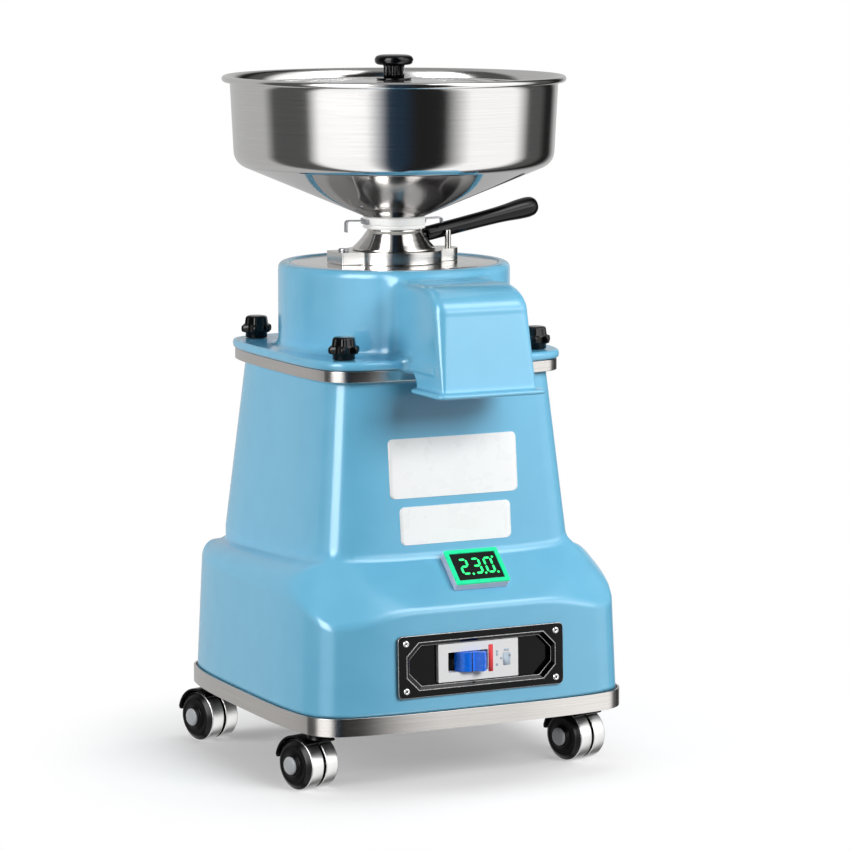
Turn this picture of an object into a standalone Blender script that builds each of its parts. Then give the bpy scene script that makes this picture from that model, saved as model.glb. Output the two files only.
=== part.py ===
"""Domestic flour mill: a pair of flat stones over an upright motor, in a moulded stand on four twin casters.

Metres, +Z up. The spout side, the front, faces -Y. The origin is on the floor under the middle of the base.
The stones, hopper and motor share one upright axis, which stands behind the middle of the base.
"""

from math import atan2, cos, pi, radians, sin, sqrt

import bmesh
import bpy
from mathutils import Matrix, Vector

# Clearances
GAP = 0.0003
OVERRUN = 0.003
WELD = 0.00001
BEARING_PLAY = 0.0003

# Number of flats round a turned piece
FINE_STEPS = 40
MEDIUM_STEPS = 32
INNER_STEPS = 20
SHAFT_STEPS = 16
SMALL_STEPS = 12
PIN_STEPS = 8
WHEEL_STEPS = 16

# Casters
WHEEL_RADIUS = 0.0255
TREAD_WIDTH = 0.0150
TREAD_EDGE = 0.0008
WHEEL_FACE_DEPTH = 0.0050
WHEEL_FACE_RADIUS = 0.0205
WHEEL_HUB_RADIUS = 0.0105
WHEEL_HUB_RISE = 0.0024
AXLE_RADIUS = 0.0030
HUB_CAP_RADIUS = 0.0090
HUB_CAP_THICKNESS = 0.0020
WEB_THICKNESS = 0.0022
WEB_RADIUS = 0.0225
HOOD_CLEARANCE = 0.0014
HOOD_WALL = 0.0020
HOOD_REAR_ANGLE = radians(12)
HOOD_FRONT_ANGLE = radians(128)
HOOD_OVERHANG = 0.0035
HOOD_STEPS = 8
CASTER_BOSS_RADIUS = 0.0095
CASTER_BOSS_RISE = 0.0123
CASTER_TRAIL = 0.0140
CASTER_TURN = radians(16)
CASTER_SIDE_INSET = 0.0320
CASTER_FRONT_INSET = 0.0600
CASTER_REAR_INSET = 0.0440
MOUNT_PLATE_THICKNESS = 0.0027
MOUNT_PLATE_RADIUS = 0.0190
STEM_RADIUS = 0.0050
STEM_LENGTH = 0.0110

# Base plate and its band
BASE_HALF_WIDTH = 0.1800
BASE_HALF_DEPTH = 0.1745
BASE_CORNER = 0.0380
BASE_BOW = 0.0085
BASE_PLATE_THICKNESS = 0.0100
BAND_THICKNESS = 0.0020
BAND_DROP = 0.0077

# Lower housing
SHAFT_SETBACK = 0.0220
HOUSING_WALL = 0.0040
SKIRT_INSET = 0.0025
SKIRT_DRAFT = 0.0035
SKIRT_HEIGHT = 0.0990
SKIRT_CORNER = 0.0350
SKIRT_BOW = 0.0085
SHOULDER_HEIGHT = 0.0430
SHOULDER_SIDE_RISE = 0.0130
SHOULDER_REAR_FALL = 0.0160
SHOULDER_FRONT_DIP = 0.0130
SHOULDER_REAR_DIP = 0.0040
SHOULDER_BULGE = 0.0050
TOWER_HEIGHT = 0.1730
TOWER_FOOT_HALF = 0.1420
TOWER_FOOT_CORNER = 0.0280
TOWER_FOOT_BOW = 0.0055
TOWER_TOP_HALF = 0.1250
TOWER_TOP_CORNER = 0.0250
TOWER_TOP_BOW = 0.0040

# Chamber plate and cover
CHAMBER_PLATE_THICKNESS = 0.0112
CHAMBER_PLATE_INSET = 0.0035
SHAFT_HOLE_CLEARANCE = 0.0035
FLANGE_HALF = 0.1380
FLANGE_CORNER = 0.0320
FLANGE_BOW = 0.0070
FLANGE_THICKNESS = 0.0088
STUD_SPREAD = 0.1050
STUD_RADIUS = 0.0040
STUD_LENGTH = 0.0270
STUD_HOLE_CLEARANCE = 0.0006
DRUM_RADIUS = 0.1165
DRUM_HEIGHT = 0.0834
DRUM_WALL = 0.0040
DRUM_EDGE = 0.0050
DRUM_FILLET = 0.0050
COVER_ROOF = 0.0040
TOP_DISC_RADIUS = 0.1040
TOP_DISC_THICKNESS = 0.0015
TOP_DISC_SINK = 0.0008

# Spout, measured forward from the shaft
SPOUT_WIDTH = 0.1020
SPOUT_WALL = 0.0040
SPOUT_TOP_DROP = 0.0090
SPOUT_REACH = 0.1980
SPOUT_BROW_DEPTH = 0.0430
SPOUT_BROW_DROP = 0.0260
SPOUT_FLARE = 0.0140
SPOUT_FOOT_DROP = 0.0208
SPOUT_REAR_DEPTH = 0.0205
SPOUT_REAR_GAP = 0.0010
SPOUT_EDGE = 0.0075
SPOUT_LIP_PROUD = 0.0080
SPOUT_LIP_THICKNESS = 0.0050
SPOUT_LIP_REAR_SET = 0.0150
SPOUT_LIP_CORNER = 0.0080
ARC_STEPS = 7

# Clamp knobs
KNOB_RADIUS = 0.0165
KNOB_NECK_RADIUS = 0.0113
KNOB_CROWN_RADIUS = 0.0128
KNOB_HEIGHT = 0.0225
KNOB_NECK_HEIGHT = 0.0062
KNOB_LOBE_HEIGHT = 0.0065
KNOB_TOP_EDGE = 0.0020
KNOB_LOBES = 6

# Adjuster
ADJUSTER_RADIUS = 0.0490
ADJUSTER_THICKNESS = 0.0120
EAR_WIDTH = 0.0370
EAR_REACH = 0.0660
EAR_BOSS_REACH = 0.0510
EAR_BOLT_REACH = 0.0560
EAR_BOLT_RADIUS = 0.0030
EAR_BOLT_HEAD_RADIUS = 0.0052
EAR_BOLT_HEAD_HEIGHT = 0.0026
EAR_BOLT_LENGTH = 0.0110
STOP_PIN_REACH = 0.0605
STOP_PIN_RADIUS = 0.0032
STOP_PIN_HEIGHT = 0.0175
STOP_PIN_DEPTH = 0.0080
CONE_HEIGHT = 0.0212
CONE_FOOT_RADIUS = 0.0420
CONE_FOOT_RIM = 0.0015
CONE_TOP_RADIUS = 0.0265
CONE_TOP_RIM = 0.0020
CONE_WAIST_SHARE = 0.55
CONE_WAIST_PULL = 0.0012
FEED_BORE_RADIUS = 0.0185
LEVER_RISE = radians(9.3)
LEVER_TURN = radians(9.5)
LEVER_ROOT_RADIUS = 0.0270
LEVER_ROOT_HEIGHT = 0.0112
LEVER_ROD_RADIUS = 0.0035
LEVER_LENGTH = 0.1530
GRIP_START = 0.0125
GRIP_ROOT_RADIUS = 0.0058
GRIP_MIDDLE_RADIUS = 0.0072
GRIP_BULB_RADIUS = 0.0105
GRIP_BULB_LENGTH = 0.0300

# Feed ring and its clip
RING_RADIUS = 0.0314
RING_BORE_RADIUS = 0.0253
RING_HEIGHT = 0.0112
CLIP_THICKNESS = 0.0018
CLIP_HEIGHT = 0.0050
CLIP_TAB_WIDTH = 0.0060
CLIP_TAB_REACH = 0.0540
CLIP_LONG_HOOK = 0.0110
CLIP_SHORT_HOOK = 0.0050
CLIP_OVERLAP_ANGLE = radians(12)

# Hopper and lid
HOPPER_WALL = 0.0012
HOPPER_FOOT_RADIUS = 0.0295
HOPPER_FOOT_THICKNESS = 0.0012
SPIGOT_WALL = 0.0020
SPIGOT_DEPTH = 0.0090
HOPPER_CONE_HEIGHT = 0.0540
HOPPER_BASE_RADIUS = 0.1590
HOPPER_CORNER = 0.0080
HOPPER_WALL_HEIGHT = 0.0750
HOPPER_TOP_RADIUS = 0.1625
LIP_RADIUS = 0.1720
LIP_HEIGHT = 0.0110
LIP_ROLL = 0.0032
LID_THICKNESS = 0.0012
LID_SEAT_DROP = 0.0030
LID_EDGE_WIDTH = 0.0070
LID_RISE = 0.0078
LID_STEP_RADIUS = 0.0800
LID_STEP_WIDTH = 0.0060
LID_STEP_HEIGHT = 0.0014
LID_CENTRE_RADIUS = 0.0460
LID_KNOB_BASE_RADIUS = 0.0175
LID_KNOB_BASE_HEIGHT = 0.0020
LID_KNOB_STEM_RADIUS = 0.0110
LID_KNOB_STEM_HEIGHT = 0.0125
LID_KNOB_CAP_RADIUS = 0.0195
LID_KNOB_CAP_HEIGHT = 0.0108
LID_KNOB_CAP_EDGE = 0.0035

# Stones and their carriers
STONE_RADIUS = 0.0950
STONE_THICKNESS = 0.0280
STONE_EYE_RADIUS = 0.0180
STONE_MEETING_GAP = 0.0010
DRIVER_RADIUS = 0.0600
DRIVER_THICKNESS = 0.0110
DRIVER_LIFT = 0.0030
CARRIER_RADIUS = 0.0800
CARRIER_THICKNESS = 0.0070
SLEEVE_RADIUS = 0.0240
SLEEVE_LENGTH = 0.0300
SLEEVE_HOLE_CLEARANCE = 0.0040
SLEEVE_PLAY = 0.0006
SLEEVE_HEADROOM = 0.0040

# Motor
SHAFT_RADIUS = 0.0125
FRAME_RADIUS = 0.0820
FRAME_WALL = 0.0040
FRAME_LENGTH = 0.1500
TOP_BELL_HEIGHT = 0.0445
TOP_BELL_FLANGE_RADIUS = 0.0750
TOP_BELL_FLANGE_THICKNESS = 0.0060
TOP_BELL_NECK_RADIUS = 0.0600
BELL_WALL = 0.0050
BOTTOM_BELL_HEIGHT = 0.0300
BEARING_RADIUS = 0.0260
BEARING_WIDTH = 0.0150
BEARING_SEAT_WALL = 0.0070
STATOR_LENGTH = 0.1100
STATOR_BORE_RADIUS = 0.0458
WINDING_INNER_RADIUS = 0.0500
WINDING_OUTER_RADIUS = 0.0700
WINDING_RISE = 0.0160
ROTOR_GAP = 0.0008
FAN_DROP = 0.0060
FAN_RADIUS = 0.0680
FAN_HUB_RADIUS = 0.0200
FAN_HUB_HEIGHT = 0.0160
FAN_DISC_THICKNESS = 0.0025
FAN_BLADES = 6
FAN_BLADE_THICKNESS = 0.0025
CAPACITOR_RADIUS = 0.0225
CAPACITOR_HEIGHT = 0.0850
CAPACITOR_PLACE = (-0.1000, 0.0900)

# Switch panel and breaker
PANEL_WIDTH = 0.1800
PANEL_HEIGHT = 0.0610
PANEL_CORNER = 0.0050
PANEL_THICKNESS = 0.0026
PANEL_SHARE_UP_SKIRT = 0.46
WINDOW_WIDTH = 0.1610
WINDOW_HEIGHT = 0.0460
WINDOW_CHAMFER = 0.0130
TRAY_WALL = 0.0020
TRAY_DEPTH = 0.0055
BREAKER_WIDTH = 0.0870
BREAKER_HEIGHT = 0.0375
BREAKER_DEPTH = 0.0600
BREAKER_SINK = 0.0010
BREAKER_OFFSET = -0.0015
TOGGLE_SLOT_WIDTH = 0.0430
TOGGLE_SLOT_HEIGHT = 0.0198
TOGGLE_SLOT_FROM_END = 0.0107
TOGGLE_DRUM_RADIUS = 0.0115
TOGGLE_AXIS_DEPTH = 0.0050
TOGGLE_PADDLE_LENGTH = 0.0205
TOGGLE_PADDLE_THICKNESS = 0.0075
TOGGLE_LEAN = radians(45)

# Voltage meter
METER_WIDTH = 0.0580
METER_HEIGHT = 0.0420
METER_CASE_DEPTH = 0.0085
METER_BEZEL_DEPTH = 0.0020
METER_BEZEL_BORDER = 0.0042
METER_WINDOW_SINK = 0.0006
METER_OFFSET = 0.0090
METER_SHARE_UP_SHOULDER = 0.63

# Shape of a bowed outline: how flat its sides stay in the middle, and where points lie along a side
BOW_POWER = 4
SIDE_SHARES = (-0.62, -0.31, 0.0, 0.31, 0.62)
CORNER_STEPS = 4
CORNER_FACET_SHARE = 0.27
CORNER_BULGE_LOSS = 0.4

# Heights above the floor, from the floor up
wheel_center_z = WHEEL_RADIUS * cos(pi / WHEEL_STEPS)
hood_inner = WHEEL_RADIUS + HOOD_CLEARANCE
hood_outer = hood_inner + HOOD_WALL
caster_boss_top = wheel_center_z + hood_outer + CASTER_BOSS_RISE
mount_plate_low = caster_boss_top + GAP
base_low = mount_plate_low + MOUNT_PLATE_THICKNESS + GAP
base_top = base_low + BASE_PLATE_THICKNESS
band_low = base_low - BAND_DROP
housing_low = base_top + GAP
shoulder_low = housing_low + SKIRT_HEIGHT
shoulder_top = shoulder_low + SHOULDER_HEIGHT
tower_top = shoulder_top + TOWER_HEIGHT
chamber_low = tower_top + GAP
chamber_top = chamber_low + CHAMBER_PLATE_THICKNESS
flange_low = chamber_top + GAP
flange_top = flange_low + FLANGE_THICKNESS
drum_top = flange_top + DRUM_HEIGHT
disc_top = drum_top - TOP_DISC_SINK
disc_low = disc_top - TOP_DISC_THICKNESS
recess_floor = disc_low - GAP
chamber_roof = recess_floor - COVER_ROOF
adjuster_low = disc_top + GAP
adjuster_top = adjuster_low + ADJUSTER_THICKNESS
cone_low = adjuster_top + GAP
cone_top = cone_low + CONE_HEIGHT
ring_low = cone_top + GAP
ring_top = ring_low + RING_HEIGHT
hopper_low = ring_top + GAP
hopper_shoulder = hopper_low + HOPPER_FOOT_THICKNESS + HOPPER_CONE_HEIGHT
hopper_wall_top = hopper_shoulder + HOPPER_WALL_HEIGHT
hopper_top = hopper_wall_top + LIP_HEIGHT
lid_low = hopper_wall_top - LID_SEAT_DROP
lid_center_top = lid_low + LID_THICKNESS + LID_RISE

driver_low = chamber_top + DRIVER_LIFT
lower_stone_low = driver_low + DRIVER_THICKNESS + GAP
upper_stone_low = lower_stone_low + STONE_THICKNESS + STONE_MEETING_GAP
carrier_low = upper_stone_low + STONE_THICKNESS + GAP
sleeve_top = carrier_low + CARRIER_THICKNESS + SLEEVE_LENGTH

bell_top = chamber_low - GAP
frame_top = bell_top - TOP_BELL_HEIGHT - GAP
frame_low = frame_top - FRAME_LENGTH
bottom_bell_top = frame_low - GAP
bottom_bell_low = bottom_bell_top - BOTTOM_BELL_HEIGHT
core_top = (frame_top + frame_low + STATOR_LENGTH) / 2
core_low = core_top - STATOR_LENGTH
fan_top = bottom_bell_low - FAN_DROP
shaft_low = fan_top - FAN_HUB_HEIGHT

# Sizes that follow from the ones above
skirt_foot_half_width = BASE_HALF_WIDTH - SKIRT_INSET
skirt_foot_half_depth = BASE_HALF_DEPTH - SKIRT_INSET
skirt_top_half_width = skirt_foot_half_width - SKIRT_DRAFT
skirt_top_half_depth = skirt_foot_half_depth - SKIRT_DRAFT
half_web = WEB_THICKNESS / 2
wheel_inner_face = half_web + GAP
tread_end = wheel_inner_face + TREAD_WIDTH
wheel_outer_face = tread_end + WHEEL_FACE_DEPTH + WHEEL_HUB_RISE
axle_half = wheel_outer_face + GAP + HUB_CAP_THICKNESS
caster_spread = BASE_HALF_WIDTH - CASTER_SIDE_INSET
caster_front = BASE_HALF_DEPTH - CASTER_FRONT_INSET
caster_rear = BASE_HALF_DEPTH - CASTER_REAR_INSET
crown_reach = SPOUT_REACH - SPOUT_BROW_DEPTH
foot_reach = SPOUT_REACH + SPOUT_FLARE
spigot_radius = RING_BORE_RADIUS - 2 * GAP
hopper_bore_radius = spigot_radius - SPIGOT_WALL

HOUSING_BLUE = (0.17, 0.48, 0.71)
STEEL = (0.62, 0.61, 0.60)
DARK_STEEL = (0.20, 0.20, 0.21)
CAST_GREY = (0.16, 0.17, 0.18)
BLACK = (0.012, 0.012, 0.013)
WHITE = (0.80, 0.80, 0.79)
HUB_GREY = (0.55, 0.56, 0.57)
STONE_GREY = (0.45, 0.42, 0.36)
METER_GREEN = (0.0, 0.69, 0.26)
TOGGLE_BLUE = (0.003, 0.15, 0.87)
COPPER = (0.55, 0.24, 0.10)

parts = None
cutters = None
finishes = {}


def start_file():
    """Empty the scene and make one collection for the pieces and one for the cutters."""
    global parts, cutters
    for old in list(bpy.data.objects):
        bpy.data.objects.remove(old, do_unlink=True)
    parts = bpy.data.collections.new("domestic_flour_mill")
    cutters = bpy.data.collections.new("cutters")
    bpy.context.scene.collection.children.link(parts)
    bpy.context.scene.collection.children.link(cutters)


def finish(name, colour, roughness, metallic=0.0):
    """A plain Principled material, made once for each name."""
    if name not in finishes:
        made = bpy.data.materials.new(name)
        made.use_nodes = True
        shader = made.node_tree.nodes["Principled BSDF"]
        shader.inputs["Base Color"].default_value = (*colour, 1.0)
        shader.inputs["Roughness"].default_value = roughness
        shader.inputs["Metallic"].default_value = metallic
        made.diffuse_color = (*colour, 1.0)
        finishes[name] = made
    return finishes[name]


def blue_moulding():
    return finish("blue_moulded_shell", HOUSING_BLUE, 0.25)


def brushed_steel():
    return finish("brushed_steel", STEEL, 0.28, 1.0)


def black_plastic():
    return finish("black_plastic", BLACK, 0.35)


def cast_iron():
    return finish("cast_iron", CAST_GREY, 0.6, 1.0)


def place(name, mesh, look=None, at=(0, 0, 0), turn=(0, 0, 0), parent=None):
    """Put a mesh in the scene as a piece, or as a hidden cutter where it has no look."""
    made = bpy.data.objects.new(name, mesh)
    (parts if look else cutters).objects.link(made)
    if look:
        mesh.materials.append(look)
    else:
        made.hide_render = True
        made.display_type = "WIRE"
    made.location = at
    made.rotation_euler = turn
    made.parent = parent
    return made


def station(name, at, turn=(0, 0, 0), parent=None):
    """An empty that carries pieces, on the axis or the face that they share."""
    made = bpy.data.objects.new(name, None)
    parts.objects.link(made)
    made.location = at
    made.rotation_euler = turn
    made.parent = parent
    return made


def mesh_from(name, shape):
    """Turn a bmesh into a mesh with outward faces."""
    bmesh.ops.remove_doubles(shape, verts=shape.verts, dist=WELD)
    bmesh.ops.recalc_face_normals(shape, faces=shape.faces)
    mesh = bpy.data.meshes.new(name)
    shape.to_mesh(mesh)
    shape.free()
    return mesh


def turned(name, profile, steps, look=None, phase=0.0, **where):
    """Turn a profile of (radius, height) points round Z. The points run down the outer side.

    A profile that starts and ends on the axis is left open, and any other is closed into a loop.
    """
    mesh = bpy.data.meshes.new(name)
    points = [(radius * cos(phase), radius * sin(phase), height) for radius, height in profile]
    edges = [(i, i + 1) for i in range(len(points) - 1)]
    if profile[0][0] > 0:
        edges.append((len(points) - 1, 0))
    mesh.from_pydata(points, edges, [])
    made = place(name, mesh, look, **where)
    screw = made.modifiers.new("turn", "SCREW")
    screw.axis = "Z"
    screw.steps = steps
    screw.render_steps = steps
    screw.use_merge_vertices = True
    screw.merge_threshold = WELD
    screw.use_smooth_shade = True
    return made


def outline_mesh(name, loops, depth):
    """Extrude flat outlines from z = 0 up to depth. The first loop is the edge, the others are holes."""
    curve = bpy.data.curves.new(name, "CURVE")
    curve.dimensions = "2D"
    curve.fill_mode = "BOTH"
    curve.extrude = depth / 2
    for loop in loops:
        spline = curve.splines.new("POLY")
        spline.points.add(len(loop) - 1)
        for point, (x, y) in zip(spline.points, loop):
            point.co = (x, y, 0, 1)
        spline.use_cyclic_u = True
    source = bpy.data.objects.new(name, curve)
    cutters.objects.link(source)
    depsgraph = bpy.context.evaluated_depsgraph_get()
    flat = bpy.data.meshes.new_from_object(source.evaluated_get(depsgraph))
    bpy.data.objects.remove(source)
    shape = bmesh.new()
    shape.from_mesh(flat)
    bmesh.ops.translate(shape, verts=shape.verts, vec=(0, 0, depth / 2))
    return mesh_from(name, shape)


def block_mesh(name, low, high):
    """A box between two corners."""
    shape = bmesh.new()
    bmesh.ops.create_cube(shape, size=1)
    size = Vector(high) - Vector(low)
    middle = (Vector(high) + Vector(low)) / 2
    bmesh.ops.scale(shape, vec=size, verts=shape.verts)
    bmesh.ops.translate(shape, vec=middle, verts=shape.verts)
    return mesh_from(name, shape)


def rod_mesh(name, radius, low, high, steps):
    """An upright cylinder between two heights."""
    shape = bmesh.new()
    bmesh.ops.create_cone(
        shape, cap_ends=True, segments=steps, radius1=radius, radius2=radius, depth=high - low
    )
    bmesh.ops.translate(shape, verts=shape.verts, vec=(0, 0, (low + high) / 2))
    return mesh_from(name, shape)


def loft_mesh(name, rings, capped=True):
    """Skin a stack of rings of equal point counts. Without caps the last ring joins the first."""
    shape = bmesh.new()
    rows = [[shape.verts.new(point) for point in ring] for ring in rings]
    count = len(rings[0])
    pairs = list(zip(rows, rows[1:]))
    if capped:
        shape.faces.new(list(reversed(rows[0])))
        shape.faces.new(rows[-1])
    else:
        pairs.append((rows[-1], rows[0]))
    for lower, upper in pairs:
        for i in range(count):
            j = (i + 1) % count
            shape.faces.new((lower[i], lower[j], upper[j], upper[i]))
    return mesh_from(name, shape)


def combine(piece, other, operation):
    step = piece.modifiers.new(operation.lower(), "BOOLEAN")
    step.operation = operation
    step.solver = "EXACT"
    step.object = other


def cut(piece, *tools):
    for tool in tools:
        combine(piece, tool, "DIFFERENCE")


def join(piece, *others):
    for other in others:
        combine(piece, other, "UNION")


def smooth_by_angle(piece, angle=radians(35)):
    """Smooth shading, with the edges that are really sharp kept sharp."""
    piece.data.shade_smooth()
    piece.data.set_sharp_from_angle(angle=angle)


def arc(center, radii, start, end, steps):
    """Points along part of an ellipse."""
    angles = [start + (end - start) * i / steps for i in range(steps + 1)]
    return [(center[0] + radii[0] * cos(a), center[1] + radii[1] * sin(a)) for a in angles]


def circle(radius, steps, center=(0, 0)):
    return arc(center, (radius, radius), 0, 2 * pi, steps)[:-1]


def bowed_outline(half_width, half_depth, corner, bow, center_y=0.0):
    """A rounded rectangle whose sides bow outward, counter-clockwise from the right front corner.

    Its half sizes are those at the middle of each side.
    """
    lean = atan2(BOW_POWER * bow, min(half_width, half_depth) - corner)
    inset = bow + corner * cos(lean)
    center_x = half_width - inset
    center_depth = half_depth - inset
    sweep = pi / 2 - 2 * lean
    points = []
    for quarter, (sign_x, sign_y) in enumerate(((1, -1), (1, 1), (-1, 1), (-1, -1))):
        turn = quarter * pi / 2
        middle = (sign_x * center_x, sign_y * center_depth)
        start = turn - pi / 2 + lean
        points += arc(middle, (corner, corner), start, start + sweep, CORNER_STEPS)
        upright = quarter % 2 == 0
        reach = half_width if upright else half_depth
        run = (center_depth if upright else center_x) + corner * sin(lean)
        for share in SIDE_SHARES:
            out = reach - bow * abs(share) ** BOW_POWER
            points.append(tuple(Vector((out, share * run)) @ Matrix.Rotation(-turn, 2)))
    return [(x, y + center_y) for x, y in points]


def section(half_width, half_depth, corner, bow, heights, center_y=0.0):
    """One level of the housing: an outline, with a height for each of its points."""
    points = bowed_outline(half_width, half_depth, corner, bow, center_y)
    return [(x, y, z) for (x, y), z in zip(points, heights)]


def skirt_top_heights():
    """The skirt's top edge: low in front, higher along sides and rear, dipping at each corner's facet."""
    high = shoulder_low + SHOULDER_SIDE_RISE
    front_tip = shoulder_low - SHOULDER_FRONT_DIP
    rear_tip = high - SHOULDER_REAR_DIP
    half = CORNER_STEPS // 2
    heights = []
    for before, tip, after in (
        (shoulder_low, front_tip, high),
        (high, rear_tip, high),
        (high, rear_tip, high),
        (high, front_tip, shoulder_low),
    ):
        falls = [1 - CORNER_FACET_SHARE * (half - i) / half for i in range(half)]
        heights += [before + (tip - before) * fall for fall in falls]
        heights.append(tip)
        heights += [after + (tip - after) * fall for fall in reversed(falls)]
        heights += [after] * len(SIDE_SHARES)
    return heights


def housing_sections(inset):
    """The housing's levels from the foot up, moved inward by an inset."""
    count = len(skirt_top_heights())
    skirt_corner = SKIRT_CORNER - inset
    low_width = skirt_foot_half_width - inset
    low_depth = skirt_foot_half_depth - inset
    foot = section(low_width, low_depth, skirt_corner, SKIRT_BOW, [housing_low] * count)
    high_width = skirt_top_half_width - inset
    high_depth = skirt_top_half_depth - inset
    top_of_skirt = section(high_width, high_depth, skirt_corner, SKIRT_BOW, skirt_top_heights())
    foot_half = TOWER_FOOT_HALF - inset
    foot_corner = TOWER_FOOT_CORNER - inset
    plan = bowed_outline(foot_half, foot_half, foot_corner, TOWER_FOOT_BOW, SHAFT_SETBACK)
    fall = SHOULDER_REAR_FALL / (2 * foot_half)
    crease = [shoulder_top - fall * (y - SHAFT_SETBACK + foot_half) for x, y in plan]
    tower_foot = [(x, y, z) for (x, y), z in zip(plan, crease)]
    head_half = TOWER_TOP_HALF - inset
    head_corner = TOWER_TOP_CORNER - inset
    top = [tower_top] * count
    tower_head = section(head_half, head_half, head_corner, TOWER_TOP_BOW, top, SHAFT_SETBACK)
    swell = []
    for i, (low, high) in enumerate(zip(top_of_skirt, tower_foot)):
        middle = (Vector(low) + Vector(high)) / 2
        step = i % (CORNER_STEPS + 1 + len(SIDE_SHARES))
        if step <= CORNER_STEPS:
            outward = Vector((low[0] - high[0], low[1] - high[1], high[2] - low[2])).normalized()
            middle += outward * SHOULDER_BULGE * (1 - abs(2 * step / CORNER_STEPS - 1) * CORNER_BULGE_LOSS)
        swell.append(tuple(middle))
    return [foot, top_of_skirt, swell, tower_foot, tower_head]


def make_base():
    """The base plate, and the steel band bent round its edge."""
    outer = bowed_outline(BASE_HALF_WIDTH, BASE_HALF_DEPTH, BASE_CORNER, BASE_BOW)
    inner_width = BASE_HALF_WIDTH - BAND_THICKNESS
    inner_depth = BASE_HALF_DEPTH - BAND_THICKNESS
    inner = bowed_outline(inner_width, inner_depth, BASE_CORNER - BAND_THICKNESS, BASE_BOW)
    band = outline_mesh("base_band", [outer, inner], base_top - band_low)
    place("base_band", band, brushed_steel(), at=(0, 0, band_low))
    inset = BAND_THICKNESS + GAP
    plate_width, plate_depth = BASE_HALF_WIDTH - inset, BASE_HALF_DEPTH - inset
    plate_edge = bowed_outline(plate_width, plate_depth, BASE_CORNER - inset, BASE_BOW)
    look = finish("painted_plate", DARK_STEEL, 0.5, 1.0)
    plate = outline_mesh("base_plate", [plate_edge], BASE_PLATE_THICKNESS)
    place("base_plate", plate, look, at=(0, 0, base_low))


def make_housing(panel):
    """The moulded stand: a thin shell, open at foot and head, with a window for the switch panel."""
    rings = housing_sections(0.0) + housing_sections(HOUSING_WALL)[::-1]
    shell = place("lower_housing", loft_mesh("lower_housing", rings, capped=False), blue_moulding())
    half_width = WINDOW_WIDTH / 2 + TRAY_WALL + GAP
    half_height = WINDOW_HEIGHT / 2 + TRAY_WALL + GAP
    depth = TRAY_DEPTH + 2 * HOUSING_WALL
    opening = outline_mesh("panel_opening", [octagon(half_width, half_height)], depth)
    cut(shell, place("panel_opening", opening, at=(0, 0, -TRAY_DEPTH - HOUSING_WALL), parent=panel))
    smooth_by_angle(shell)


def octagon(half_width, half_height):
    """A rectangle with cut corners."""
    x, y = half_width - WINDOW_CHAMFER, half_height - WINDOW_CHAMFER
    return [
        (x, -half_height),
        (half_width, -y),
        (half_width, y),
        (x, half_height),
        (-x, half_height),
        (-half_width, y),
        (-half_width, -y),
        (-x, -half_height),
    ]


def rounded_rectangle(half_width, half_height, corner, steps=3):
    points = []
    for quarter, (sign_x, sign_y) in enumerate(((1, 1), (-1, 1), (-1, -1), (1, -1))):
        middle = (sign_x * (half_width - corner), sign_y * (half_height - corner))
        start = quarter * pi / 2
        points += arc(middle, (corner, corner), start, start + pi / 2, steps)
    return points


def rectangle(half_width, half_height, center=(0, 0)):
    x, y = center
    return [
        (x + half_width, y - half_height),
        (x + half_width, y + half_height),
        (x - half_width, y + half_height),
        (x - half_width, y - half_height),
    ]


def panel_station():
    """A frame on the front of the skirt: its X runs along the mill, its Y up the face, its Z out of it."""
    share = PANEL_SHARE_UP_SKIRT
    y = -(skirt_foot_half_depth - SKIRT_DRAFT * share)
    z = housing_low + SKIRT_HEIGHT * share
    draft = atan2(SKIRT_DRAFT, SKIRT_HEIGHT)
    return station("panel_station", (0, y, z), (pi / 2 - draft, 0, 0))


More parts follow.
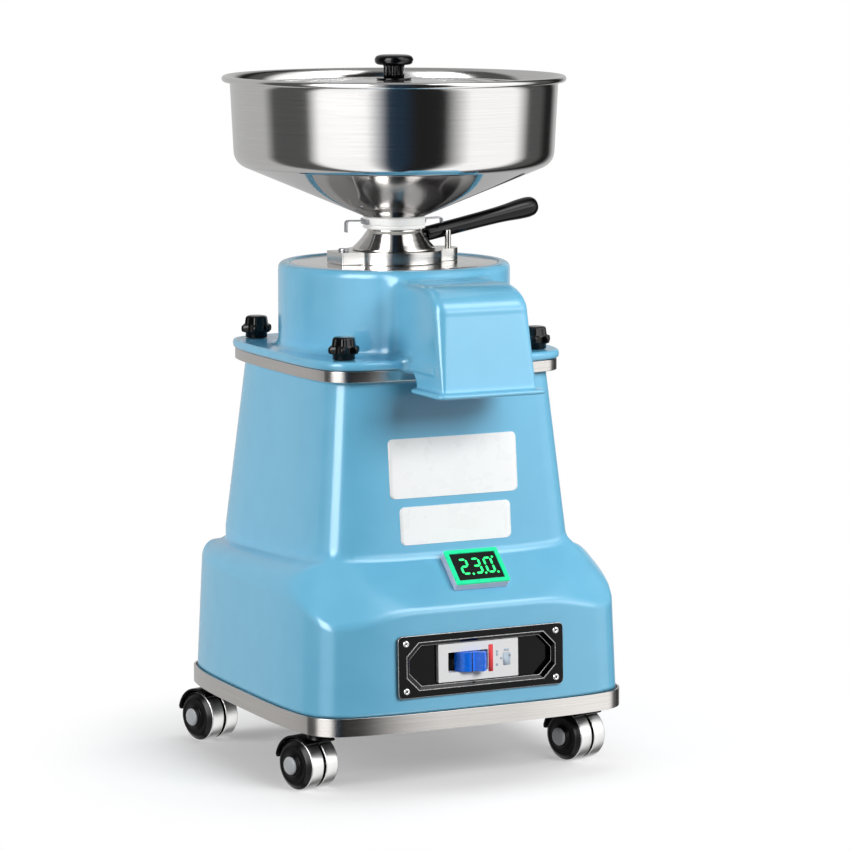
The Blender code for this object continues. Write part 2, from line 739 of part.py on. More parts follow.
def make_switch_panel(panel):
    """The black panel with its sunk tray, and the breaker that fills an opening in the tray's floor."""
    front = GAP + PANEL_THICKNESS
    floor = -TRAY_DEPTH + GAP
    edge = rounded_rectangle(PANEL_WIDTH / 2, PANEL_HEIGHT / 2, PANEL_CORNER)
    plate = outline_mesh("switch_panel", [edge], PANEL_THICKNESS)
    bezel = place("switch_panel", plate, black_plastic(), at=(0, 0, GAP), parent=panel)
    tray_depth = TRAY_DEPTH + TRAY_WALL
    window = octagon(WINDOW_WIDTH / 2, WINDOW_HEIGHT / 2)
    tray_edge = octagon(WINDOW_WIDTH / 2 + TRAY_WALL, WINDOW_HEIGHT / 2 + TRAY_WALL)
    tray = outline_mesh("tray", [tray_edge], tray_depth + PANEL_THICKNESS / 2)
    hollow = outline_mesh("tray_hollow", [window], front - floor + OVERRUN)
    case_center = (BREAKER_OFFSET, 0)
    hole_edge = rectangle(BREAKER_WIDTH / 2 + GAP, BREAKER_HEIGHT / 2 + GAP, case_center)
    hole = outline_mesh("breaker_hole", [hole_edge], tray_depth + 2 * OVERRUN)
    join(bezel, place("tray", tray, at=(0, 0, floor - TRAY_WALL), parent=panel))
    cut(bezel, place("tray_hollow", hollow, at=(0, 0, floor), parent=panel))
    cut(bezel, place("breaker_hole", hole, at=(0, 0, floor - TRAY_WALL - OVERRUN), parent=panel))

    case_low = -BREAKER_SINK - BREAKER_DEPTH
    case_edge = rectangle(BREAKER_WIDTH / 2, BREAKER_HEIGHT / 2, case_center)
    case = outline_mesh("breaker_case", [case_edge], BREAKER_DEPTH)
    white = finish("white_plastic", WHITE, 0.4)
    breaker = place("breaker_case", case, white, at=(0, 0, case_low), parent=panel)
    slot_low_x = BREAKER_OFFSET - BREAKER_WIDTH / 2 + TOGGLE_SLOT_FROM_END
    pivot_x = slot_low_x + TOGGLE_SLOT_WIDTH / 2
    slot_floor = -BREAKER_SINK - TOGGLE_AXIS_DEPTH - TOGGLE_DRUM_RADIUS - 2 * GAP
    half_slot = TOGGLE_SLOT_HEIGHT / 2
    slot_high_x = slot_low_x + TOGGLE_SLOT_WIDTH
    slot = block_mesh("toggle_slot", (slot_low_x, -half_slot, slot_floor), (slot_high_x, half_slot, OVERRUN))
    cut(breaker, place("toggle_slot", slot, parent=panel))
    pivot = station("toggle_pivot", (pivot_x, 0, -BREAKER_SINK - TOGGLE_AXIS_DEPTH), parent=panel)
    make_toggle(pivot, half_slot - GAP)


def make_toggle(pivot, half_toggle):
    """The rocking toggle: a drum across its slot, with a paddle that leans out of it."""
    paddle_half = TOGGLE_PADDLE_THICKNESS / 2
    spread = atan2(paddle_half, TOGGLE_DRUM_RADIUS)
    start, end = TOGGLE_LEAN + spread, TOGGLE_LEAN + 2 * pi - spread
    profile = arc((0, 0), (TOGGLE_DRUM_RADIUS,) * 2, start, end, SMALL_STEPS)
    along = Vector((cos(TOGGLE_LEAN), sin(TOGGLE_LEAN)))
    across = Vector((-along.y, along.x))
    tip = along * TOGGLE_PADDLE_LENGTH
    profile += [tuple(tip - across * paddle_half), tuple(tip + across * paddle_half)]
    rocker = outline_mesh("breaker_toggle", [profile], 2 * half_toggle)
    blue = finish("blue_plastic", TOGGLE_BLUE, 0.35)
    place("breaker_toggle", rocker, blue, at=(0, half_toggle, 0), turn=(pi / 2, 0, 0), parent=pivot)


def make_meter():
    """The voltage meter on the front slope of the shoulder: case, lit bezel and dark window."""
    low = Vector((0, -skirt_top_half_depth, shoulder_low))
    high = Vector((0, SHAFT_SETBACK - TOWER_FOOT_HALF, shoulder_top))
    middle = low.lerp(high, METER_SHARE_UP_SHOULDER)
    slope = atan2(high.z - low.z, high.y - low.y)
    face = station("meter_station", (METER_OFFSET, middle.y, middle.z), (slope, 0, 0))
    outer = rectangle(METER_WIDTH / 2, METER_HEIGHT / 2)
    inner_width = METER_WIDTH / 2 - METER_BEZEL_BORDER
    inner_height = METER_HEIGHT / 2 - METER_BEZEL_BORDER
    pale = finish("pale_plastic", WHITE, 0.4)
    case = outline_mesh("meter_case", [outer], METER_CASE_DEPTH)
    place("meter_case", case, pale, at=(0, 0, GAP), parent=face)
    bezel_low = GAP + METER_CASE_DEPTH + GAP
    bezel = outline_mesh("meter_bezel", [outer, rectangle(inner_width, inner_height)], METER_BEZEL_DEPTH)
    green = finish("green_lit_plastic", METER_GREEN, 0.3)
    place("meter_bezel", bezel, green, at=(0, 0, bezel_low), parent=face)
    pane = rectangle(inner_width - GAP, inner_height - GAP)
    window = outline_mesh("meter_window", [pane], METER_BEZEL_DEPTH - METER_WINDOW_SINK)
    place("meter_window", window, finish("dark_window", BLACK, 0.1), at=(0, 0, bezel_low), parent=face)


def on_shaft(z=0.0):
    return (0, SHAFT_SETBACK, z)


def stud_places():
    """The four clamp studs by name, in plan from the shaft."""
    s = STUD_SPREAD
    return {"left_front": (-s, -s), "right_front": (s, -s), "left_rear": (-s, s), "right_rear": (s, s)}


def make_chamber_plate():
    """The thick steel plate on the tower's head: its edge shows as a band, its studs hold the knobs."""
    half = FLANGE_HALF - CHAMBER_PLATE_INSET
    edge = bowed_outline(half, half, FLANGE_CORNER - CHAMBER_PLATE_INSET, FLANGE_BOW)
    shaft_hole = circle(SHAFT_RADIUS + SHAFT_HOLE_CLEARANCE, MEDIUM_STEPS)
    mesh = outline_mesh("chamber_plate", [edge, shaft_hole], CHAMBER_PLATE_THICKNESS)
    plate = place("chamber_plate", mesh, brushed_steel(), at=on_shaft(chamber_low))
    foot, top = chamber_top - BAND_THICKNESS, chamber_top + STUD_LENGTH
    for name, (x, y) in stud_places().items():
        stud = rod_mesh("stud_" + name, STUD_RADIUS, foot, top, PIN_STEPS)
        join(plate, place("stud_" + name, stud, at=(x, SHAFT_SETBACK + y, 0)))


def spout_profile(inset, foot, root):
    """The spout from the side, as (distance forward of the shaft, height). Inset gives its hollow."""
    crown_z = drum_top - SPOUT_TOP_DROP - inset
    brow_z = drum_top - SPOUT_TOP_DROP - SPOUT_BROW_DROP
    foot_z = flange_low - SPOUT_FOOT_DROP
    brow = (crown_reach, brow_z)
    rise = crown_z - brow_z
    reach = SPOUT_BROW_DEPTH - inset
    rear = FLANGE_HALF - CHAMBER_PLATE_INSET + SPOUT_REAR_GAP
    rear_top = flange_top if inset else flange_low
    rear_depth = SPOUT_REAR_DEPTH + inset
    rear_wall = arc((rear, foot_z), (rear_depth, rear_top - foot_z), pi / 2, 0, ARC_STEPS)
    slant = SPOUT_FLARE * (foot_z - foot) / (brow_z - foot_z)
    points = [(root, rear_top)]
    points += rear_wall[:-1]
    points.append((rear + rear_depth, foot))
    points.append((foot_reach - inset + slant, foot))
    points += arc(brow, (reach, rise), 0, pi / 2, ARC_STEPS)
    points.append((root, crown_z))
    return points


def spout_block(name, inset, foot, root):
    """The spout's outside or its hollow, as a solid across the mill."""
    width = SPOUT_WIDTH - 2 * inset
    return outline_mesh(name, [spout_profile(inset, foot, root)], width), width


def soften_spout(mesh, width):
    """Round the long edges where the spout's sides meet its top and its front."""
    foot = flange_low - SPOUT_FOOT_DROP
    shape = bmesh.new()
    shape.from_mesh(mesh)
    bmesh.ops.dissolve_limit(shape, angle_limit=radians(1), verts=shape.verts, edges=shape.edges)
    rims = []
    for edge in shape.edges:
        a, b = (v.co for v in edge.verts)
        on_rim = abs(a.z - b.z) < WELD and min(abs(a.z), abs(a.z - width)) < WELD
        outside = min(a.x, b.x) > FLANGE_HALF or min(a.y, b.y) > flange_top
        on_foot = max(a.y, b.y) < foot + WELD
        rear = max(a.y, b.y) <= flange_low + WELD and max(a.x, b.x) < crown_reach + SPOUT_EDGE
        if on_rim and outside and not on_foot and not rear and len(edge.link_faces) == 2:
            rims.append(edge)
    bmesh.ops.bevel(
        shape, geom=rims, offset=SPOUT_EDGE, segments=3, profile=0.5, affect="EDGES", clamp_overlap=True
    )
    shape.to_mesh(mesh)
    shape.free()
    return mesh


def across_mill(name, mesh, width):
    """Place a side profile, drawn as (forward, up), so that it runs across the mill."""
    turn = Matrix(((0, 0, 1), (-1, 0, 0), (0, 1, 0)))
    mesh.transform(turn.to_4x4())
    if turn.determinant() < 0:
        mesh.flip_normals()
    return place(name, mesh, at=(-width / 2, SHAFT_SETBACK, 0))


def spout_lip(foot_z):
    """The flat rim round the spout's foot, wider than the spout on three sides."""
    half = SPOUT_WIDTH / 2 + SPOUT_LIP_PROUD
    front = foot_reach + SPOUT_LIP_PROUD
    rear = FLANGE_HALF + SPOUT_LIP_REAR_SET
    corner = SPOUT_LIP_CORNER
    edge = [(-half, -rear)]
    edge += arc((-half + corner, -front + corner), (corner, corner), pi, 1.5 * pi, 3)
    edge += arc((half - corner, -front + corner), (corner, corner), 1.5 * pi, 2 * pi, 3)
    edge.append((half, -rear))
    return place("spout_lip", outline_mesh("spout_lip", [edge], SPOUT_LIP_THICKNESS), at=on_shaft(foot_z))


def shaft_cutter(name, radius, low, high, steps):
    return place(name, rod_mesh(name, radius, low, high, steps), at=on_shaft())


def make_chamber_cover():
    """Flange, drum and spout as one moulding over the stones, open at the spout's foot."""
    edge = bowed_outline(FLANGE_HALF, FLANGE_HALF, FLANGE_CORNER, FLANGE_BOW)
    flange = outline_mesh("chamber_cover", [edge], FLANGE_THICKNESS)
    cover = place("chamber_cover", flange, blue_moulding(), at=on_shaft(flange_low))
    fillet_center = (DRUM_RADIUS + DRUM_FILLET, flange_top + DRUM_FILLET)
    fillet = arc(fillet_center, (DRUM_FILLET, DRUM_FILLET), pi, 1.5 * pi, 2)
    edge_top = arc((DRUM_RADIUS - DRUM_EDGE, drum_top - DRUM_EDGE), (DRUM_EDGE,) * 2, pi / 2, 0, 3)
    low = flange_low + FLANGE_THICKNESS / 2
    profile = [(0, drum_top)] + edge_top + fillet + [(DRUM_RADIUS + DRUM_FILLET, low), (0, low)]
    drum = turned("drum_block", profile, FINE_STEPS, at=on_shaft())
    root = DRUM_RADIUS / 2
    foot_z = flange_low - SPOUT_FOOT_DROP
    outside, width = spout_block("spout_block", 0.0, foot_z, root)
    spout = across_mill("spout_block", soften_spout(outside, width), width)
    join(cover, drum, spout, spout_lip(foot_z))

    inner_root = DRUM_RADIUS - 3 * DRUM_WALL
    chute, chute_width = spout_block("spout_hollow", SPOUT_WALL, foot_z - OVERRUN, inner_root)
    passage = across_mill("spout_hollow", chute, chute_width)
    sleeve_hole = SLEEVE_RADIUS + SLEEVE_HOLE_CLEARANCE
    below, above = flange_low - OVERRUN, drum_top + OVERRUN
    hollow = shaft_cutter("drum_hollow", DRUM_RADIUS - DRUM_WALL, below, chamber_roof, FINE_STEPS)
    recess = shaft_cutter("disc_recess", TOP_DISC_RADIUS + GAP, recess_floor, above, FINE_STEPS)
    neck = shaft_cutter("sleeve_hole", sleeve_hole, chamber_roof - OVERRUN, drum_top, MEDIUM_STEPS)
    cut(cover, hollow, passage, recess, neck)
    for name, (x, y) in stud_places().items():
        radius = STUD_RADIUS + STUD_HOLE_CLEARANCE
        hole = rod_mesh("stud_hole_" + name, radius, below, flange_top + OVERRUN, PIN_STEPS)
        cut(cover, place("stud_hole_" + name, hole, at=(x, SHAFT_SETBACK + y, 0)))
    smooth_by_angle(cover)

    loops = [circle(TOP_DISC_RADIUS, FINE_STEPS), circle(sleeve_hole, MEDIUM_STEPS)]
    disc = outline_mesh("top_disc", loops, TOP_DISC_THICKNESS)
    place("top_disc", disc, brushed_steel(), at=on_shaft(disc_low))


def knob_ring(radius, lobe, z):
    """One level of a clamp knob, with a lobed edge where asked."""
    count = KNOB_LOBES * 3
    ring = []
    for i in range(count):
        angle = 2 * pi * i / count
        r = radius + lobe * (1 if i % 3 else -1) / 2
        ring.append((r * cos(angle), r * sin(angle), z))
    return ring


def make_clamp_knobs():
    """Four black lobed knobs, each bored from below for its stud."""
    lobe_low = KNOB_NECK_HEIGHT
    lobe_high = lobe_low + KNOB_LOBE_HEIGHT
    lobe_depth = KNOB_RADIUS - KNOB_CROWN_RADIUS
    lobe_radius = KNOB_RADIUS - lobe_depth / 2
    bore_depth = STUD_LENGTH - FLANGE_THICKNESS + GAP
    bore = STUD_RADIUS + GAP
    top_radius = KNOB_CROWN_RADIUS - KNOB_TOP_EDGE
    rings = [
        knob_ring(bore, 0, bore_depth),
        knob_ring(bore, 0, 0),
        knob_ring(KNOB_NECK_RADIUS, 0, 0),
        knob_ring(KNOB_NECK_RADIUS, 0, lobe_low),
        knob_ring(lobe_radius, lobe_depth, lobe_low),
        knob_ring(lobe_radius, lobe_depth, lobe_high),
        knob_ring(KNOB_CROWN_RADIUS, 0, lobe_high),
        knob_ring(KNOB_CROWN_RADIUS, 0, KNOB_HEIGHT - KNOB_TOP_EDGE),
        knob_ring(top_radius, 0, KNOB_HEIGHT),
    ]
    for name, (x, y) in stud_places().items():
        node = "clamp_knob_" + name
        seat = (x, SHAFT_SETBACK + y, flange_top + GAP)
        knob = place(node, loft_mesh(node, rings), black_plastic(), at=seat)
        smooth_by_angle(knob)


def ear_outline():
    """The adjuster flange from above: a disc with a square ear on the left and a round boss on the right."""
    half = EAR_WIDTH / 2
    meet = sqrt(ADJUSTER_RADIUS**2 - half**2)
    half_angle = atan2(half, meet)
    radii = (ADJUSTER_RADIUS, ADJUSTER_RADIUS)
    points = arc((0, 0), radii, half_angle, pi - half_angle, SHAFT_STEPS - 3)
    points += [(-EAR_REACH, half), (-EAR_REACH, -half)]
    points += arc((0, 0), radii, pi + half_angle, 2 * pi - half_angle, SHAFT_STEPS - 3)
    points += arc((EAR_BOSS_REACH, 0), (half, half), -pi / 2, pi / 2, PIN_STEPS)
    return points


def make_adjuster():
    """The fixed flange with its stop pin and bolt, and the feed cone with its lever, which turns on it."""
    bore = SLEEVE_RADIUS + SLEEVE_PLAY
    bolt_hole = circle(EAR_BOLT_RADIUS + GAP, PIN_STEPS, (-EAR_BOLT_REACH, 0))
    pin_hole = circle(STOP_PIN_RADIUS + GAP, PIN_STEPS, (STOP_PIN_REACH, 0))
    loops = [ear_outline(), circle(bore, MEDIUM_STEPS), bolt_hole, pin_hole]
    flange = outline_mesh("adjuster_flange", loops, ADJUSTER_THICKNESS)
    place("adjuster_flange", flange, brushed_steel(), at=on_shaft(adjuster_low))
    pin = rod_mesh("stop_pin", STOP_PIN_RADIUS, -STOP_PIN_DEPTH, STOP_PIN_HEIGHT, PIN_STEPS)
    place("stop_pin", pin, brushed_steel(), at=(STOP_PIN_REACH, SHAFT_SETBACK, adjuster_top))
    head = EAR_BOLT_HEAD_RADIUS
    profile = [
        (0, GAP + EAR_BOLT_HEAD_HEIGHT),
        (head, GAP + EAR_BOLT_HEAD_HEIGHT),
        (head, GAP),
        (EAR_BOLT_RADIUS, GAP),
        (EAR_BOLT_RADIUS, -EAR_BOLT_LENGTH),
        (0, -EAR_BOLT_LENGTH),
    ]
    bolt_seat = (-EAR_BOLT_REACH, SHAFT_SETBACK, adjuster_top)
    turned("ear_bolt", profile, PIN_STEPS, brushed_steel(), at=bolt_seat)

    axis = station("adjuster_axis", on_shaft(cone_low))
    counterbore_top = sleeve_top + SLEEVE_HEADROOM - cone_low
    waist = CONE_FOOT_RADIUS + (CONE_TOP_RADIUS - CONE_FOOT_RADIUS) * CONE_WAIST_SHARE - CONE_WAIST_PULL
    waist_z = CONE_FOOT_RIM + (CONE_HEIGHT - CONE_FOOT_RIM - CONE_TOP_RIM) * CONE_WAIST_SHARE
    profile = [
        (CONE_TOP_RADIUS, CONE_HEIGHT),
        (CONE_TOP_RADIUS, CONE_HEIGHT - CONE_TOP_RIM),
        (waist, waist_z),
        (CONE_FOOT_RADIUS, CONE_FOOT_RIM),
        (CONE_FOOT_RADIUS, 0),
        (bore, 0),
        (bore, counterbore_top),
        (FEED_BORE_RADIUS, counterbore_top),
        (FEED_BORE_RADIUS, CONE_HEIGHT),
    ]
    cone = turned("feed_cone", profile, MEDIUM_STEPS, brushed_steel(), parent=axis)
    root = (LEVER_ROOT_RADIUS * cos(LEVER_TURN), LEVER_ROOT_RADIUS * sin(LEVER_TURN), LEVER_ROOT_HEIGHT)
    lean = (0, pi / 2 - LEVER_RISE, LEVER_TURN)
    socket = rod_mesh("lever_socket", LEVER_ROD_RADIUS + GAP, 0, GRIP_START + OVERRUN, SMALL_STEPS)
    cut(cone, place("lever_socket", socket, at=root, turn=lean, parent=axis))
    rod_end = LEVER_LENGTH - GRIP_BULB_LENGTH / 2
    rod = rod_mesh("lever_rod", LEVER_ROD_RADIUS, GAP, rod_end, SMALL_STEPS)
    place("lever_rod", rod, finish("dark_steel", DARK_STEEL, 0.35, 1.0), at=root, turn=lean, parent=axis)
    hole = LEVER_ROD_RADIUS + GAP
    bulb_start = LEVER_LENGTH - GRIP_BULB_LENGTH
    profile = [
        (0, LEVER_LENGTH),
        (GRIP_BULB_RADIUS * cos(pi / 5), LEVER_LENGTH - GRIP_BULB_RADIUS * (1 - sin(pi / 5)) / 2),
        (GRIP_BULB_RADIUS, LEVER_LENGTH - GRIP_BULB_RADIUS * cos(pi / 5)),
        (GRIP_BULB_RADIUS, LEVER_LENGTH - GRIP_BULB_LENGTH / 2),
        (GRIP_MIDDLE_RADIUS, bulb_start - GRIP_BULB_LENGTH / 3),
        (GRIP_ROOT_RADIUS, GRIP_START),
        (hole, GRIP_START),
        (hole, rod_end + GAP),
        (0, rod_end + GAP),
    ]
    turned("lever_grip", profile, SMALL_STEPS, black_plastic(), at=root, turn=lean, parent=axis)


def make_feed_ring():
    """The white ring under the hopper, and the bent steel clip whose ends are its finger tabs."""
    axis = station("feed_ring_axis", on_shaft(ring_low))
    loops = [circle(RING_RADIUS, MEDIUM_STEPS), circle(RING_BORE_RADIUS, MEDIUM_STEPS)]
    white = finish("white_plastic", WHITE, 0.4)
    place("feed_ring", outline_mesh("feed_ring", loops, RING_HEIGHT), white, parent=axis)
    inner = RING_RADIUS + GAP
    outer = inner + CLIP_THICKNESS
    lap = CLIP_OVERLAP_ANGLE
    band = arc((0, 0), (outer, outer), -lap, pi + lap, SHAFT_STEPS)
    band += arc((0, 0), (inner, inner), pi + lap, -lap, SHAFT_STEPS)
    clip_top = RING_HEIGHT - CLIP_THICKNESS
    clip_mesh = outline_mesh("feed_ring_clip", [band], CLIP_HEIGHT)
    clip_seat = (0, 0, clip_top - CLIP_HEIGHT)
    clip = place("feed_ring_clip", clip_mesh, brushed_steel(), at=clip_seat, parent=axis)
    half = CLIP_TAB_WIDTH / 2
    sink = CLIP_THICKNESS / 4
    for side, hook in ((-1, CLIP_LONG_HOOK), (1, CLIP_SHORT_HOOK)):
        name = "left" if side < 0 else "right"
        near, far = side * (inner + sink), side * CLIP_TAB_REACH
        arm_low = clip_top - CLIP_THICKNESS - sink
        arm_high = clip_top - sink
        arm = block_mesh(name + "_tab", (min(near, far), -half, arm_low), (max(near, far), half, arm_high))
        bend = far - side * CLIP_THICKNESS
        claw = block_mesh(
            name + "_hook", (min(bend, far), -half, arm_high - hook), (max(bend, far), half, arm_low + sink)
        )
        join(clip, place(name + "_tab", arm, parent=axis), place(name + "_hook", claw, parent=axis))


def hopper_outer_radius(z):
    """The radius of the hopper's upright wall, which widens a little upward."""
    share = (z - hopper_shoulder) / HOPPER_WALL_HEIGHT
    return HOPPER_BASE_RADIUS + (HOPPER_TOP_RADIUS - HOPPER_BASE_RADIUS) * share


def make_hopper():
    """The spun steel hopper: rolled lip, upright wall, cone and spigot, open right through."""
    roll = (LIP_RADIUS - LIP_ROLL, hopper_top - LIP_ROLL)
    lip_arc = arc(roll, (LIP_ROLL, LIP_ROLL), 0.75 * pi, -0.4 * pi, 5)
    inner_lip = (HOPPER_TOP_RADIUS + LIP_ROLL, hopper_top - LIP_ROLL)
    cone_low = hopper_low + HOPPER_FOOT_THICKNESS
    slope = atan2(HOPPER_CONE_HEIGHT, HOPPER_BASE_RADIUS - HOPPER_FOOT_RADIUS)
    corner = HOPPER_CORNER
    corner_top = (hopper_outer_radius(hopper_shoulder + corner), hopper_shoulder + corner)
    corner_mid = (HOPPER_BASE_RADIUS - corner / 4, hopper_shoulder + corner / 4)
    corner_low = (HOPPER_BASE_RADIUS - corner * cos(slope), hopper_shoulder - corner * sin(slope))
    wall = HOPPER_WALL
    drop = wall / cos(slope)
    profile = lip_arc + [
        (HOPPER_TOP_RADIUS, hopper_wall_top),
        corner_top,
        corner_mid,
        corner_low,
        (HOPPER_FOOT_RADIUS, cone_low),
        (HOPPER_FOOT_RADIUS, hopper_low),
        (spigot_radius, hopper_low),
        (spigot_radius, hopper_low - SPIGOT_DEPTH),
        (hopper_bore_radius, hopper_low - SPIGOT_DEPTH),
        (hopper_bore_radius, cone_low),
        (HOPPER_FOOT_RADIUS, cone_low + drop),
        (corner_low[0] - wall * sin(slope), corner_low[1] + drop),
        (corner_mid[0] - wall, corner_mid[1] + wall),
        (corner_top[0] - wall, corner_top[1]),
        (HOPPER_TOP_RADIUS - wall, hopper_wall_top),
        inner_lip,
    ]
    turned("hopper", profile, FINE_STEPS, brushed_steel(), at=on_shaft())


def make_lid():
    """The lid sits in the hopper's taper below the rim, with a stepped ring and a black knob."""
    edge = hopper_outer_radius(lid_low) - HOPPER_WALL - GAP
    top = lid_low + LID_THICKNESS
    step_low = top + LID_RISE - LID_STEP_HEIGHT
    upper = [
        (0, lid_center_top),
        (LID_CENTRE_RADIUS, lid_center_top),
        (LID_CENTRE_RADIUS + LID_STEP_WIDTH, step_low),
        (LID_STEP_RADIUS, step_low),
        (edge - LID_EDGE_WIDTH, top),
        (edge, top),
    ]
    lower = [(radius, z - LID_THICKNESS) for radius, z in reversed(upper)]
    turned("hopper_lid", upper + lower, FINE_STEPS, brushed_steel(), at=on_shaft())
    base = lid_center_top + GAP
    stem = base + LID_KNOB_BASE_HEIGHT
    cap = stem + LID_KNOB_STEM_HEIGHT
    crown = cap + LID_KNOB_CAP_HEIGHT
    profile = [
        (0, crown),
        (LID_KNOB_CAP_RADIUS - LID_KNOB_CAP_EDGE, crown),
        (LID_KNOB_CAP_RADIUS, crown - LID_KNOB_CAP_EDGE),
        (LID_KNOB_CAP_RADIUS, cap + LID_KNOB_CAP_EDGE),
        (LID_KNOB_CAP_RADIUS - LID_KNOB_CAP_EDGE, cap),
        (LID_KNOB_STEM_RADIUS, cap),
        (LID_KNOB_STEM_RADIUS, stem),
        (LID_KNOB_BASE_RADIUS, stem),
        (LID_KNOB_BASE_RADIUS, base),
        (0, base),
    ]
    turned("lid_knob", profile, INNER_STEPS, black_plastic(), at=on_shaft())


def make_stones():
    """The running stone on its driver, and the upper stone hung from its carrier and threaded sleeve."""
    stone = finish("grinding_stone", STONE_GREY, 0.9)
    driver_bore = SHAFT_RADIUS + GAP
    driver = [circle(DRIVER_RADIUS, INNER_STEPS), circle(driver_bore, SHAFT_STEPS)]
    disc = outline_mesh("stone_driver", driver, DRIVER_THICKNESS)
    place("stone_driver", disc, cast_iron(), at=on_shaft(driver_low))
    loops = [circle(STONE_RADIUS, MEDIUM_STEPS), circle(STONE_EYE_RADIUS, SHAFT_STEPS)]
    lower = outline_mesh("lower_stone", loops, STONE_THICKNESS)
    place("lower_stone", lower, stone, at=on_shaft(lower_stone_low))
    upper = outline_mesh("upper_stone", loops, STONE_THICKNESS)
    place("upper_stone", upper, stone, at=on_shaft(upper_stone_low))
    profile = [
        (SLEEVE_RADIUS, sleeve_top),
        (SLEEVE_RADIUS, carrier_low + CARRIER_THICKNESS),
        (CARRIER_RADIUS, carrier_low + CARRIER_THICKNESS),
        (CARRIER_RADIUS, carrier_low),
        (STONE_EYE_RADIUS, carrier_low),
        (STONE_EYE_RADIUS, sleeve_top),
    ]
    turned("upper_stone_carrier", profile, MEDIUM_STEPS, cast_iron(), at=on_shaft())


def make_motor():
    """The upright motor under the chamber plate: bells, frame, stator, bearings, rotor and capacitor."""
    grey = finish("painted_motor", CAST_GREY, 0.5, 1.0)
    seat = BEARING_RADIUS + GAP
    seat_outer = seat + BEARING_SEAT_WALL
    shaft_hole = SHAFT_RADIUS + SHAFT_HOLE_CLEARANCE
    bell_low = bell_top - TOP_BELL_HEIGHT
    flange_under = bell_top - TOP_BELL_FLANGE_THICKNESS
    cap_low = bell_low + TOP_BELL_HEIGHT / 2
    bearing_top = cap_low + BELL_WALL
    seat_low = bearing_top - BEARING_WIDTH - GAP
    profile = [
        (TOP_BELL_FLANGE_RADIUS, bell_top),
        (TOP_BELL_FLANGE_RADIUS, flange_under),
        (TOP_BELL_NECK_RADIUS, flange_under - BELL_WALL),
        (FRAME_RADIUS, cap_low),
        (FRAME_RADIUS, bell_low),
        (FRAME_RADIUS - FRAME_WALL, bell_low),
        (FRAME_RADIUS - FRAME_WALL - BELL_WALL, cap_low - BELL_WALL),
        (seat_outer, cap_low - BELL_WALL),
        (seat_outer, seat_low),
        (seat, seat_low),
        (seat, bearing_top),
        (shaft_hole, bearing_top),
        (shaft_hole, bell_top),
    ]
    turned("motor_top_bell", profile, INNER_STEPS, grey, at=on_shaft())
    tube = [circle(FRAME_RADIUS, INNER_STEPS), circle(FRAME_RADIUS - FRAME_WALL, INNER_STEPS)]
    place("motor_frame", outline_mesh("motor_frame", tube, FRAME_LENGTH), grey, at=on_shaft(frame_low))
    lower_seat_top = bottom_bell_top - BELL_WALL
    lower_seat_low = lower_seat_top - BEARING_WIDTH - GAP
    profile = [
        (FRAME_RADIUS - FRAME_WALL, bottom_bell_top),
        (FRAME_RADIUS, bottom_bell_top),
        (FRAME_RADIUS, bottom_bell_top - BELL_WALL),
        (seat_outer + BELL_WALL, bottom_bell_low),
        (shaft_hole, bottom_bell_low),
        (shaft_hole, lower_seat_low),
        (seat, lower_seat_low),
        (seat, lower_seat_top),
        (seat_outer, lower_seat_top),
        (seat_outer, lower_seat_low),
        (FRAME_RADIUS - FRAME_WALL, lower_seat_top),
    ]
    turned("motor_bottom_bell", profile, INNER_STEPS, grey, at=on_shaft())
    race = [circle(BEARING_RADIUS, INNER_STEPS), circle(SHAFT_RADIUS + BEARING_PLAY, SHAFT_STEPS)]
    steel = finish("bearing_steel", STEEL, 0.2, 1.0)
    for name, top in (("top_bearing", bearing_top - GAP), ("bottom_bearing", lower_seat_top)):
        place(name, outline_mesh(name, race, BEARING_WIDTH), steel, at=on_shaft(top - BEARING_WIDTH))
    core_outer = FRAME_RADIUS - FRAME_WALL - GAP
    profile = [
        (core_outer, core_top),
        (core_outer, core_low),
        (WINDING_OUTER_RADIUS, core_low),
        (WINDING_OUTER_RADIUS, core_low - WINDING_RISE),
        (WINDING_INNER_RADIUS, core_low - WINDING_RISE),
        (WINDING_INNER_RADIUS, core_low),
        (STATOR_BORE_RADIUS, core_low),
        (STATOR_BORE_RADIUS, core_top),
        (WINDING_INNER_RADIUS, core_top),
        (WINDING_INNER_RADIUS, core_top + WINDING_RISE),
        (WINDING_OUTER_RADIUS, core_top + WINDING_RISE),
        (WINDING_OUTER_RADIUS, core_top),
    ]
    turned("stator", profile, INNER_STEPS, finish("stator_core", COPPER, 0.5, 1.0), at=on_shaft())

    shaft_top = driver_low + DRIVER_THICKNESS
    rotor_radius = STATOR_BORE_RADIUS - ROTOR_GAP
    profile = [
        (0, shaft_top),
        (SHAFT_RADIUS, shaft_top),
        (SHAFT_RADIUS, core_top),
        (rotor_radius, core_top),
        (rotor_radius, core_low),
        (SHAFT_RADIUS, core_low),
        (SHAFT_RADIUS, shaft_low),
        (0, shaft_low),
    ]
    turned("motor_rotor", profile, SHAFT_STEPS, finish("rotor_steel", STEEL, 0.4, 1.0), at=on_shaft())
    make_fan()
    can = rod_mesh("run_capacitor", CAPACITOR_RADIUS, 0, CAPACITOR_HEIGHT, SMALL_STEPS)
    look = finish("capacitor_can", STEEL, 0.4, 1.0)
    place("run_capacitor", can, look, at=(*CAPACITOR_PLACE, base_top + GAP))


